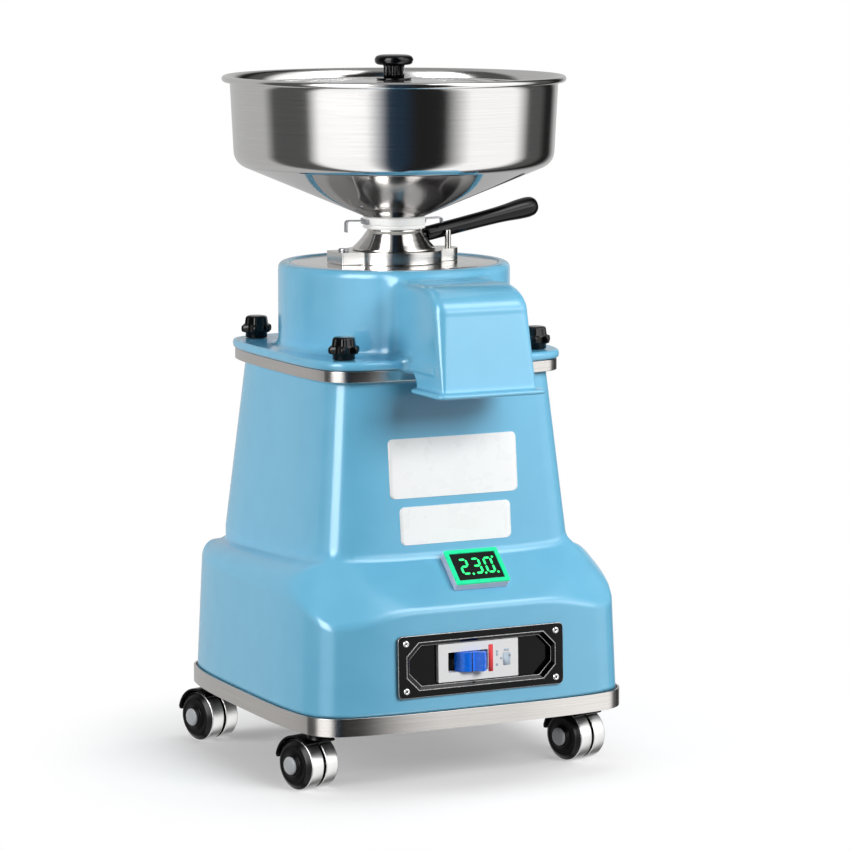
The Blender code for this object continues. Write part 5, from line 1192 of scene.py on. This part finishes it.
def caster_frames(name):
    """The axle's middle and the stem's middle of one caster, and the turn that they share."""
    low, high = node_span("caster_axle_" + name)
    hub = (low + high) / 2
    mount_low, mount_high = node_span("caster_mount_" + name)
    stem = (mount_low + mount_high) / 2
    turn = Matrix.Rotation(radians(CASTER_TURN), 4, "Z")
    return hub, stem, turn


def make_wheel(name, hub, turn, side):
    """A wheel: ground steel tyre, dished black face with a bevelled rim, and a raised hub."""
    face = [(0.0033, 0.0230), (0.0105, 0.0230), (0.0109, 0.0207), (0.0160, 0.0204), (0.0186, 0.0206)]
    face += [(0.0203, 0.0200), (0.0234, 0.0172), (0.0242, 0.0166)]
    tyre = [(0.0246, 0.0164), (0.0250, 0.0158), (0.0250, 0.0022), (0.0246, 0.0015), (0.0033, 0.0014)]
    lying = turn @ Matrix.Rotation(side * pi / 2, 4, "Y")
    where = Matrix.Translation(hub) @ lying
    wheel = turned(
        name + "_tyred",
        softened(face + tyre, 0.0006, closed=True, steps=2),
        [tread_steel, nylon],
        where,
        steps=96,
    )
    for polygon in wheel.data.polygons:
        middle = polygon.center
        reach = sqrt(middle.x**2 + middle.y**2)
        polygon.material_index = 0 if reach > TYRE_FACE_RADIUS else 1
    return wheel


def make_caster(name):
    """One caster: axle with hub caps, hood with its web and boss, and two wheels."""
    hub, stem, turn = caster_frames(name)
    sideways = Matrix.Translation(hub) @ turn @ Matrix.Rotation(pi / 2, 4, "Y")
    half = AXLE_HALF
    line = [
        (0, half), (0.0062, half), (0.0082, half - 0.0005), (0.0090, half - 0.0016), (0.0090, half - 0.0020)
    ]
    line += [(0.0030, half - 0.0021)]
    profile = line + [(r, -h) for r, h in reversed(line)]
    caps = turned(name + "_hub_caps", profile, hub_grey, sideways, steps=48, closed=False)
    dress(caps, "caster_" + name, "hub_grey", "caster_axle_" + name)

    inner, outer, width = HOOD_INNER, HOOD_OUTER, HOOD_WIDTH
    across = Matrix.Translation(hub) @ turn @ Matrix.Rotation(
        pi / 2, 4, "Z"
    ) @ Matrix.Rotation(pi / 2, 4, "X")
    start, end = radians(HOOD_START), radians(HOOD_END)
    shell_line = arc((0, 0), (outer, outer), start, end, 36) + arc((0, 0), (inner, inner), end, start, 36)
    shell = plate("hood_shell", [shell_line], width, nylon, across @ at(z=-width / 2))
    bevelled(shell, 0.0006, 2)
    tab_line = arc((0, 0), (outer + 0.0012, outer + 0.0012), start - radians(5), start + radians(9), 6)
    tab_line += arc((0, 0), (inner - 0.0002, inner - 0.0002), start + radians(9), start - radians(5), 6)
    tab = plate("hood_tab", [tab_line], width - 0.004, nylon, across @ at(z=-width / 2 + 0.002))
    bevelled(tab, 0.0005, 2)
    web_line = arc((0, 0), (inner + 0.0005,) * 2, start, end, 24)
    web_line += arc((0, 0), (WEB_INNER, WEB_INNER), end, start + 2 * pi, 36)
    web = plate("hood_web", [web_line], WEB_THICKNESS, nylon, across @ at(z=-WEB_THICKNESS / 2))
    boss_top = level("caster_hood_" + name, top=True)
    boss_low = hub.z + BOSS_RISE
    boss = [(0, boss_top), (0.0095, boss_top), (0.0095, boss_top - 0.0080), (0.0125, boss_low), (0, boss_low)]
    neck = turned("hood_boss", softened(boss, 0.0008), nylon, at(stem.x, stem.y), steps=48, closed=False)
    dress(
        merged(name + "_hood_moulded", shell, tab, web, neck),
        "caster_" + name,
        "black_plastic",
        "caster_hood_" + name,
    )
    for side, label in ((-1, "left"), (1, "right")):
        node = f"caster_wheel_{name}_{label}"
        dress(make_wheel(node, hub, turn, side), f"wheel_{name}_{label}", "wheel", node)


# Meter


METER_WIDTH = 0.0580
METER_HEIGHT = 0.0420
METER_BORDER = 0.0042
METER_DEPTH = 0.0085
METER_CORNER = 0.0018
METER_X = 0.0090
METER_SHARE = 0.63
DIGIT_SPACING = 0.0135
DIGIT_SIZES = (0.0075, 0.0175, 0.0021)
DOTS = ((-0.0070, -0.0095), (0.0065, -0.0095), (0.0200, -0.0095), (0.0200, 0.0095))
SEGMENTS = {"2": "abged", "3": "abgcd", "0": "abcdef"}


def digit_strokes(digit, width, height, stroke):
    """The lit strokes of one digit, each a thin six-sided bar, from the digit's middle."""
    x, y, half = width / 2, height / 2, stroke / 2
    places = {
        "a": (0, y, 0), "d": (0, -y, 0), "g": (0, 0, 0),
        "b": (x, y / 2, 1), "c": (x, -y / 2, 1), "f": (-x, y / 2, 1), "e": (-x, -y / 2, 1),
    }
    strokes = []
    for letter in SEGMENTS[digit]:
        cx, cy, upright = places[letter]
        reach = (y / 2 if upright else x) - half * 0.6
        bar = [(-reach, 0), (-reach + half, -half), (reach - half, -half)]
        bar += [(reach, 0), (reach - half, half), (-reach + half, half)]
        strokes.append([(cx - v, cy + u) if upright else (cx + u, cy + v) for u, v in bar])
    return strokes


def make_meter():
    """The voltage meter: soft-edged case, bezel with a painted glow, dark window and three green digits."""
    run = SKIRT_HALF_DEPTH - SKIRT_DRAFT - (TOWER_FOOT_HALF - SHAFT_Y)
    slope = atan2(SHOULDER_HEIGHT, run)
    y = -(SKIRT_HALF_DEPTH - SKIRT_DRAFT) + run * METER_SHARE
    z = shoulder_low + SHOULDER_HEIGHT * METER_SHARE
    face = Matrix.Translation((METER_X, y, z)) @ Matrix.Rotation(slope, 4, "X")
    half_width, half_height = METER_WIDTH / 2, METER_HEIGHT / 2
    edge = rounded_box(half_width, half_height, METER_CORNER)
    case = plate("meter_case_soft", [edge], METER_DEPTH, meter_white, face @ at(z=SEAT_GAP))
    dress(bevelled(case, 0.0010, 3), "stand", "meter_case", "meter_case")
    inner_width, inner_height = half_width - METER_BORDER, half_height - METER_BORDER
    rim = [edge, rounded_box(inner_width, inner_height, 0.0010)]
    # Painted glow: the green bezel shines though it is no lamp.
    bezel = plate("meter_bezel_painted_glow", rim, 0.0020, painted_glow_bezel, face @ at(z=0.0091))
    dress(bevelled(bezel, 0.0005, 2), "stand", "meter_bezel", "meter_bezel")
    glass = rounded_box(inner_width - SEAT_GAP, inner_height - SEAT_GAP, 0.0008)
    pane = plate("meter_window_pane", [glass], 0.0014, smoked, face @ at(z=0.0091))
    bevelled(pane, 0.0002, 1)
    dress(pane, "stand", "meter_window", "meter_window")
    bars = []
    for place, digit in zip((-DIGIT_SPACING, 0.0, DIGIT_SPACING), "230"):
        for stroke in digit_strokes(digit, *DIGIT_SIZES):
            bars.append(plate("stroke", [stroke], 0.0004, lit_segment, face @ at(place, 0, 0.0104)))
    for middle in DOTS:
        bars.append(plate("dot", [circle(0.0012, 12, middle)], 0.0004, lit_segment, face @ at(z=0.0104)))
    dress(merged("meter_digits", *bars), "stand", "meter_window")


# Switch panel


PANEL_HALF_WIDTH = 0.0900
PANEL_HALF_HEIGHT = 0.0305
WINDOW_HALF_WIDTH = 0.0805
WINDOW_HALF_HEIGHT = 0.0230
WINDOW_CHAMFER = 0.0130
PANEL_SHARE = 0.46
PANEL_Z = housing_low + SKIRT_HEIGHT * PANEL_SHARE
SCREW_SPREAD = (0.0815, 0.0232)
TRAY_LOW = -0.0072
TRAY_FLOOR = -0.0052
BREAKER_X = -0.0015
BREAKER_HALF_WIDTH = 0.0435
BREAKER_HALF_HEIGHT = 0.01875
BREAKER_TOP = -0.0010
BREAKER_FACE_DEPTH = 0.0180
BREAKER_DEPTH = 0.0600
TOGGLE_LEAN = 45
TOGGLE_RADIUS = 0.0113
TOGGLE_REACH = 0.0203
TOGGLE_HALF_THICKNESS = 0.0037
TOGGLE_WIDTH = 0.0190


def octagon(half_width, half_height):
    """The window's shape: a rectangle with cut corners, counter-clockwise."""
    x, y = half_width - WINDOW_CHAMFER, half_height - WINDOW_CHAMFER
    return [
        (x, -half_height), (half_width, -y), (half_width, y), (x, half_height),
        (-x, half_height), (-half_width, y), (-half_width, -y), (-x, -half_height),
    ]


def make_panel():
    """The black panel: chamfered plate with a painted highlight on its chamfers, sunk tray with a double rim
    of painted highlight lines, four screws with painted shade in their sockets, and the breaker.
    """
    tilt = pi / 2 - atan2(SKIRT_DRAFT, SKIRT_HEIGHT)
    y = -(SKIRT_HALF_DEPTH - SKIRT_DRAFT * PANEL_SHARE)
    face = Matrix.Translation((0, y, PANEL_Z)) @ Matrix.Rotation(tilt, 4, "X")
    window = octagon(WINDOW_HALF_WIDTH, WINDOW_HALF_HEIGHT)
    loops = [rounded_box(PANEL_HALF_WIDTH, PANEL_HALF_HEIGHT, 0.0050), window]
    sheet = plate("panel_sheet", loops, 0.0026, [gloss_black, painted_highlight_grey], face @ at(z=SEAT_GAP))
    # The chamfer faces take the pale grey: a painted highlight along the sheet's edges.
    bevelled(sheet, 0.0006, 1, material=1)
    wall = [octagon(WINDOW_HALF_WIDTH + 0.0018, WINDOW_HALF_HEIGHT + 0.0018), window]
    tray = plate("tray_wall", wall, 0.0016 - TRAY_LOW, gloss_black, face @ at(z=TRAY_LOW))
    tray.data.shade_flat()
    case_hole = rounded_box(0.0438, 0.01905, 0.0004, (BREAKER_X, 0), 1)
    loops = [octagon(WINDOW_HALF_WIDTH + 0.0005, WINDOW_HALF_HEIGHT + 0.0005), case_hole]
    floor = plate("tray_floor", loops, 0.0020, gloss_black, face @ at(z=TRAY_LOW))
    floor.data.shade_flat()
    parts = [sheet, tray, floor]
    # Two thin pale grey rims round the window: painted highlight lines on the frame's bevels.
    for inset, height in ((0.0000, 0.0034), (0.0034, 0.0006)):
        outer = octagon(WINDOW_HALF_WIDTH - inset + 0.0007, WINDOW_HALF_HEIGHT - inset + 0.0007)
        inner = octagon(WINDOW_HALF_WIDTH - inset, WINDOW_HALF_HEIGHT - inset)
        rim = plate("window_rim_painted_highlight", [outer, inner], 0.0008, painted_highlight_grey, face @ at(z=height - 0.0008))
        parts.append(bevelled(rim, 0.0002, 1))
    slope_inner = octagon(WINDOW_HALF_WIDTH - 0.0034, WINDOW_HALF_HEIGHT - 0.0034)
    rings = [[(x, y, 0.0026) for x, y in window], [(x, y, 0.0004) for x, y in slope_inner]]
    rings += [[(x, y, TRAY_FLOOR) for x, y in slope_inner], [(x, y, TRAY_FLOOR) for x, y in window]]
    slope = lofted("window_slope", rings, gloss_black, face, capped=False)
    slope.data.shade_flat()
    parts.append(slope)
    dress(merged("switch_panel_dressed", *parts), "stand", "black_plastic", "switch_panel")

    screws = []
    head = [(0.0010, 0.0034), (0.0014, 0.0044), (0.0026, 0.0044), (0.0033, 0.0036)]
    head = softened(head + [(0.0034, 0.0029), (0.0006, 0.0029)], 0.0004, closed=True, steps=2)
    for x in (-SCREW_SPREAD[0], SCREW_SPREAD[0]):
        for y in (-SCREW_SPREAD[1], SCREW_SPREAD[1]):
            screws.append(turned("screw", head, chrome, face @ at(x, y), steps=32))
            # A black hexagon sunk in each screw head: painted shade in the socket.
            screws.append(plate("screw_socket_painted_shade", [circle(0.0011, 6)], 0.0003, nylon, face @ at(x, y, 0.0030)))
    dress(merged("panel_screws", *screws), "stand", "polished_steel")
    make_breaker(face)


def make_breaker(face):
    """The breaker: white case with a slot, printed stripe and marks, and the two-part blue toggle."""
    top, half_width, half_height = BREAKER_TOP, BREAKER_HALF_WIDTH, BREAKER_HALF_HEIGHT
    slot_low = BREAKER_X - half_width + 0.0107
    slot_middle = slot_low + 0.0215
    slot = rounded_box(0.0215, 0.0099, 0.0006, (slot_middle, 0), 2)
    loops = [rounded_box(half_width, half_height, 0.0008, (BREAKER_X, 0), 3), slot]
    low = face @ at(z=top - BREAKER_FACE_DEPTH)
    cover = plate("breaker_face", loops, BREAKER_FACE_DEPTH, switch_white, low)
    bevelled(cover, 0.0005, 2)
    edge = rounded_box(half_width - 0.0002, half_height - 0.0002, 0.0008, (BREAKER_X, 0), 3)
    depth = BREAKER_DEPTH - BREAKER_FACE_DEPTH
    back = plate("breaker_back", [edge], depth, switch_white, face @ at(z=top - BREAKER_DEPTH))
    edge = rounded_box(0.0216, 0.0100, 0.0006, (slot_middle, 0), 2)
    slot_floor = plate("slot_floor", [edge], 0.0010, nylon, face @ at(z=top - 0.0130))
    case = merged("breaker_case_slotted", cover, bevelled(back, 0.0006, 1), slot_floor)
    dress(case, "stand", "white_plastic", "breaker_case")

    edge = rounded_box(0.0024, 0.0132, 0.0003, (slot_low + 0.0462, 0.0012), 1)
    marks = [plate("breaker_stripe", [edge], 0.0003, print_red, face @ at(z=top))]
    start = slot_low + 0.0510
    bars = [
        (0.0022, 0.0070, 0.0010),
        (0.0022, 0.0040, 0.0010),
        (0.0022, -0.0060, 0.0016),
        (0.0068, 0.0000, 0.0006),
    ]
    bars += [(0.0126, -0.0010, 0.0040), (0.0126, 0.0080, 0.0026), (0.0160, 0.0020, 0.0010)]
    for x, y, half in bars:
        wide, tall = half if half > 0.002 else 0.0012, 0.0012 if half < 0.003 else 0.0062
        mark = rounded_box(wide, tall, 0.0005, (start + x, y), 2)
        marks.append(plate("mark", [mark], 0.0002, print_grey, face @ at(z=top)))
    dress(merged("breaker_print", *marks), "stand", "white_plastic")

    pivot = face @ at(slot_middle, 0, top - 0.0050)
    lean = radians(TOGGLE_LEAN)
    drum = arc((0, 0), (TOGGLE_RADIUS, TOGGLE_RADIUS), lean + 0.42, lean + 2 * pi - 0.42, 40)
    along, across = Vector((cos(lean), sin(lean))), Vector((-sin(lean), cos(lean)))
    root, tip, side = along * (TOGGLE_RADIUS - 0.0001), along * TOGGLE_REACH, across * TOGGLE_HALF_THICKNESS
    drum += softened([root - side, tip - side, tip + side, root + side], 0.0012)
    upright = Matrix.Rotation(pi / 2, 4, "X")
    toggle = plate(
        "toggle_two_part", [drum], TOGGLE_WIDTH, toggle_blue, pivot @ at(y=TOGGLE_WIDTH / 2) @ upright
    )
    bevelled(toggle, 0.0005, 2)
    seam = arc((0, 0), (0.0115, 0.0115), lean + 0.62, lean + 0.72, 3)
    seam += arc((0, 0), (0.0106, 0.0106), lean + 0.72, lean + 0.62, 3)
    groove = plate("toggle_seam", [seam], 0.0188, nylon, pivot @ at(y=0.0094) @ upright)
    dress(merged("toggle_two_part", toggle, groove), "breaker_toggle", "blue_toggle", "breaker_toggle")


# Labels


# Half the width and height of each label, and the height of its middle
LABELS = {"label_upper": (0.0700, 0.0290, 0.3090), "label_lower": (0.0605, 0.0185, 0.2530)}
LABEL_CORNER = 0.0050
LABEL_THICKNESS = 0.0005
LABEL_COLUMNS = 33
WALL_SEARCH = (-0.30, -0.05)
WALL_HALVINGS = 30


def make_label(name, half_width, half_height, z):
    """A bare vinyl label pressed onto the tower's front, following its bow and its lean."""
    corner, columns = LABEL_CORNER, LABEL_COLUMNS
    ends = [half_height - corner * (1 - cos(t)) for t in np.linspace(0, pi / 2, 8)]
    levels = sorted([-up for up in ends] + ends + [0.0])
    rows = len(levels)
    points = []
    for up in levels:
        past = max(0.0, abs(up) - half_height + corner)
        reach = half_width - corner + sqrt(max(corner**2 - past**2, 0))
        for share in np.linspace(-1, 1, columns):
            points.append((share * reach, z + up))
    x = np.array([p[0] for p in points])
    heights = np.array([p[1] for p in points])
    near, far = (np.full(x.shape, limit) for limit in WALL_SEARCH)
    for _ in range(WALL_HALVINGS):
        middle = (near + far) / 2
        outside = stand_depth(x, middle, heights) > 0
        near = np.where(outside, middle, near)
        far = np.where(outside, far, middle)
    placed = [(a, b - LABEL_THICKNESS, c) for a, b, c in zip(x, far, heights)]
    faces = []
    for row in range(rows - 1):
        for i in range(columns - 1):
            k = row * columns + i
            faces.append((k, k + 1, k + columns + 1, k + columns))
    label = put(name, mesh_of(name, placed, faces), vinyl)
    modify(label, "SOLIDIFY", thickness=LABEL_THICKNESS, offset=-1.0)
    dress(label, "stand", "white_plastic")


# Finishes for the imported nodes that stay


def keep_node(name, material):
    """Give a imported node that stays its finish."""
    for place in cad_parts[name].material_slots:
        place.material = material


def finish_kept_nodes():
    """Finish the base plate, the lever rod, the caster mounts and the pieces hidden inside."""
    kept = {
        "base_plate": powder_coat,
        "lever_rod": black_steel,
        "motor_frame": motor_enamel,
        "motor_top_bell": motor_enamel,
        "motor_bottom_bell": motor_enamel,
        "stator": winding,
        "top_bearing": bearing_steel,
        "bottom_bearing": bearing_steel,
        "run_capacitor": drawn_can,
        "motor_rotor": rotor_steel,
        "cooling_fan": nylon,
        "stone_driver": cast_iron,
        "lower_stone": emery,
        "upper_stone": emery,
        "upper_stone_carrier": cast_iron,
    }
    for name, material in kept.items():
        keep_node(name, material)
    for corner in CASTERS:
        keep_node("caster_mount_" + corner, zinc)


# Stage, light and camera


def make_floor():
    """A floor of matt white paper, pure white away from the mill. It keeps its light off the mill."""
    look = bpy.data.materials.new("matt_white_paper_floor")
    look.use_nodes = True
    tree = look.node_tree
    shader = tree.nodes["Principled BSDF"]
    shader.inputs["Roughness"].default_value = 0.9
    shader.inputs["Specular IOR Level"].default_value = 0.0
    fibre = add(tree, "TexNoise", {"Vector": local_places(tree, (4, 4, 4), False), "Scale": 1.0})
    tone = add(
        tree, "Mix", {0: fibre.outputs["Fac"], 6: linear("#F6F6F6"), 7: linear("#FAFAFA")}, data_type="RGBA"
    )
    tree.links.new(tone.outputs[2], shader.inputs["Base Color"])
    reach = add(tree, "VectorMath", {0: add(tree, "TexCoord").outputs["Object"]}, operation="LENGTH")
    spread = {
        "Value": reach.outputs["Value"],
        "From Min": 0.19,
        "From Max": 0.40,
        "To Min": FLOOR_GLOW,
        "To Max": 1.0,
    }
    fade = add(tree, "MapRange", spread, interpolation_type="SMOOTHSTEP")
    white = add(tree, "Emission", {"Color": (1, 1, 1, 1), "Strength": 1.0})
    mixed = add(tree, "MixShader", {0: fade.outputs[0], 1: shader.outputs[0], 2: white.outputs[0]})
    tree.links.new(mixed.outputs[0], tree.nodes["Material Output"].inputs["Surface"])
    floor = turned("paper_floor", [(0, 0), (0.3, 0), (0.7, 0), (1.6, 0)], look, steps=96, closed=False)
    floor.visible_glossy = False
    floor.visible_diffuse = False


# The studio that steel and plastic mirror: plain paper and cloth, each between two azimuths in degrees
WHITE_PAPER = "#FFFFFF"
GREY_WALL = "#B0B0B0"
GREY_CLOTH = "#505050"
NAVY_CLOTH = "#203040"
BLACK_CLOTH = "#202020"
SCREENS = (
    (GREY_WALL, -180, -130),
    (GREY_CLOTH, -120, -90),
    (WHITE_PAPER, -80, -45),
    (NAVY_CLOTH, -30, -20),
    (BLACK_CLOTH, -10, 10),
    (WHITE_PAPER, 30, 70),
    (GREY_CLOTH, 85, 100),
    (BLACK_CLOTH, 110, 120),
    (GREY_WALL, 135, 180),
)
# Softboxes in that studio: azimuth and elevation of the middle, half their spans, soft edge, brightness
SOFTBOXES = (
    ((-63, 24), (17, 22), 3.0, 6.0),
    ((32, 50), (22, 13), 8.0, 3.8),
    ((38, 18), (24, 9), 4.0, 2.0),
)
CEILING = "#909090"
MIRROR_LEVEL = 1.35
FILL_LEVEL = 0.20
FLOOR_GLOW = 0.28


def make_world():
    """White behind the mill, an even fill in its shadows, and a studio that only shiny pieces mirror."""
    world = bpy.data.worlds.new("white_studio")
    world.use_nodes = True
    bpy.context.scene.world = world
    tree = world.node_tree
    split = add(tree, "SeparateXYZ", {0: add(tree, "TexCoord").outputs["Generated"]})
    ahead = add(tree, "Math", {0: split.outputs["Y"], 1: -1.0}, operation="MULTIPLY")
    turn = add(tree, "Math", {0: split.outputs["X"], 1: ahead.outputs[0]}, operation="ARCTAN2")
    azimuth = add(tree, "Math", {0: turn.outputs[0]}, operation="DEGREES").outputs[0]
    rise = add(tree, "Math", {0: split.outputs["Z"]}, operation="ARCSINE")
    elevation = add(tree, "Math", {0: rise.outputs[0]}, operation="DEGREES").outputs[0]
    place = add(tree, "MapRange", {"Value": azimuth, "From Min": -180, "From Max": 180})
    ramp = add(tree, "ValToRGB", {0: place.outputs[0]})
    stops = ramp.color_ramp.elements
    edges = [(degrees, tone) for tone, start, end in SCREENS for degrees in (start, end)]
    for i, (degrees, tone) in enumerate(edges):
        position = (degrees + 180) / 360
        stop = stops[i] if i < 2 else stops.new(position)
        stop.position = position
        stop.color = linear(tone)
    above = add(tree, "MapRange", {"Value": elevation, "From Min": 50, "From Max": 68})
    mirrored = add(
        tree, "Mix", {0: above.outputs[0], 6: ramp.outputs[0], 7: linear(CEILING)}, data_type="RGBA"
    )
    for middle, half, edge, glare in SOFTBOXES:
        across = window(tree, azimuth, middle[0], half[0], edge)
        up = window(tree, elevation, middle[1], half[1], edge)
        lamp = add(tree, "Math", {0: across, 1: up}, operation="MULTIPLY")
        glow = {0: lamp.outputs[0], 6: mirrored.outputs[2], 7: (glare, glare, glare, 1)}
        mirrored = add(tree, "Mix", glow, data_type="RGBA", blend_type="ADD")
    seen = add(tree, "LightPath")
    fill = add(
        tree,
        "Mix",
        {0: seen.outputs["Is Glossy Ray"], 6: (FILL_LEVEL,) * 3 + (1,), 7: mirrored.outputs[2]},
        data_type="RGBA",
    )
    direct = add(
        tree,
        "Math",
        {0: seen.outputs["Is Camera Ray"], 1: seen.outputs["Is Transmission Ray"]},
        operation="MAXIMUM",
    )
    strengths = {0: seen.outputs["Is Glossy Ray"], 2: 1.0, 3: MIRROR_LEVEL}
    colour = add(tree, "Mix", {0: direct.outputs[0], 6: fill.outputs[2], 7: (1, 1, 1, 1)}, data_type="RGBA")
    tree.links.new(colour.outputs[2], tree.nodes["Background"].inputs["Color"])
    brightness = add(tree, "Mix", strengths, data_type="FLOAT")
    tree.links.new(brightness.outputs[0], tree.nodes["Background"].inputs["Strength"])


def window(tree, value, middle, half, soft):
    """1 while a value is within half a span of the middle, fading to 0 outside it."""
    apart = add(tree, "Math", {0: value, 1: middle}, operation="SUBTRACT")
    distance = add(tree, "Math", {0: apart.outputs[0]}, operation="ABSOLUTE")
    return add(
        tree, "MapRange", {"Value": distance.outputs[0], "From Min": half + soft, "From Max": half - soft}
    ).outputs[0]


# Each lamp's azimuth and elevation in degrees, distance, width, height and power
LAMPS = {
    "softbox_key": (18, 26, 2.2, 1.3, 0.8, 42),
    "softbox_left": (-98, 6, 2.2, 1.2, 1.4, 36),
    "softbox_right": (98, 10, 2.2, 1.2, 1.4, 27),
    "softbox_overhead": (150, 75, 2.2, 1.8, 1.8, 16),
}
# The photograph's camera, fitted to the base, the flange and the hopper
CAMERA_AZIMUTH = -25.87
CAMERA_ELEVATION = 7.64
CAMERA_DISTANCE = 3.8
CAMERA_LENS = 159.4
CAMERA_SHIFT = (0.0365, -0.0207)
MIDDLE_HEIGHT = 0.35


def stand_off(holder, azimuth, elevation, distance):
    """Place a lamp or the camera away from the mill's middle, looking at it."""
    a, e = radians(azimuth), radians(elevation)
    back = Vector((sin(a) * cos(e), -cos(a) * cos(e), sin(e)))
    holder.location = Vector((0, SHAFT_Y, MIDDLE_HEIGHT)) + back * distance
    holder.rotation_euler = back.to_track_quat("Z", "Y").to_euler()
    bpy.context.scene.collection.objects.link(holder)


def make_softbox(name, azimuth, elevation, distance, width, height, power):
    """A large soft lamp that looks at the mill's middle and isn't mirrored: the studio above shows it."""
    lamp = bpy.data.lights.new(name, "AREA")
    lamp.shape = "RECTANGLE"
    lamp.size, lamp.size_y = width, height
    lamp.energy = power
    holder = bpy.data.objects.new(name, lamp)
    stand_off(holder, azimuth, elevation, distance)
    holder.visible_camera = False
    holder.visible_glossy = False


def make_camera():
    """The photograph's camera: a long lens a little above the mill, from the left of its front."""
    lens = bpy.data.cameras.new("photo_camera")
    lens.sensor_width = 36
    lens.lens = CAMERA_LENS
    lens.shift_x, lens.shift_y = CAMERA_SHIFT
    lens.clip_end = 50
    camera = bpy.data.objects.new("photo_camera", lens)
    stand_off(camera, CAMERA_AZIMUTH, CAMERA_ELEVATION, CAMERA_DISTANCE)
    bpy.context.scene.camera = camera


def main():
    """Build the mill from its foot up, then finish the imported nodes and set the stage."""
    make_stand()
    make_cover()
    make_trim()
    make_clamp_knobs()
    make_adjuster()
    make_feed_ring()
    make_hopper()
    make_lid()
    for corner in CASTERS:
        make_caster(corner)
    make_meter()
    make_panel()
    for name, sizes in LABELS.items():
        make_label(name, *sizes)
    finish_kept_nodes()
    make_floor()
    make_world()
    for name, setting in LAMPS.items():
        make_softbox(name, *setting)
    make_camera()
    bpy.context.scene.view_settings.view_transform = "Standard"


main()
bpy.context.view_layer.update()
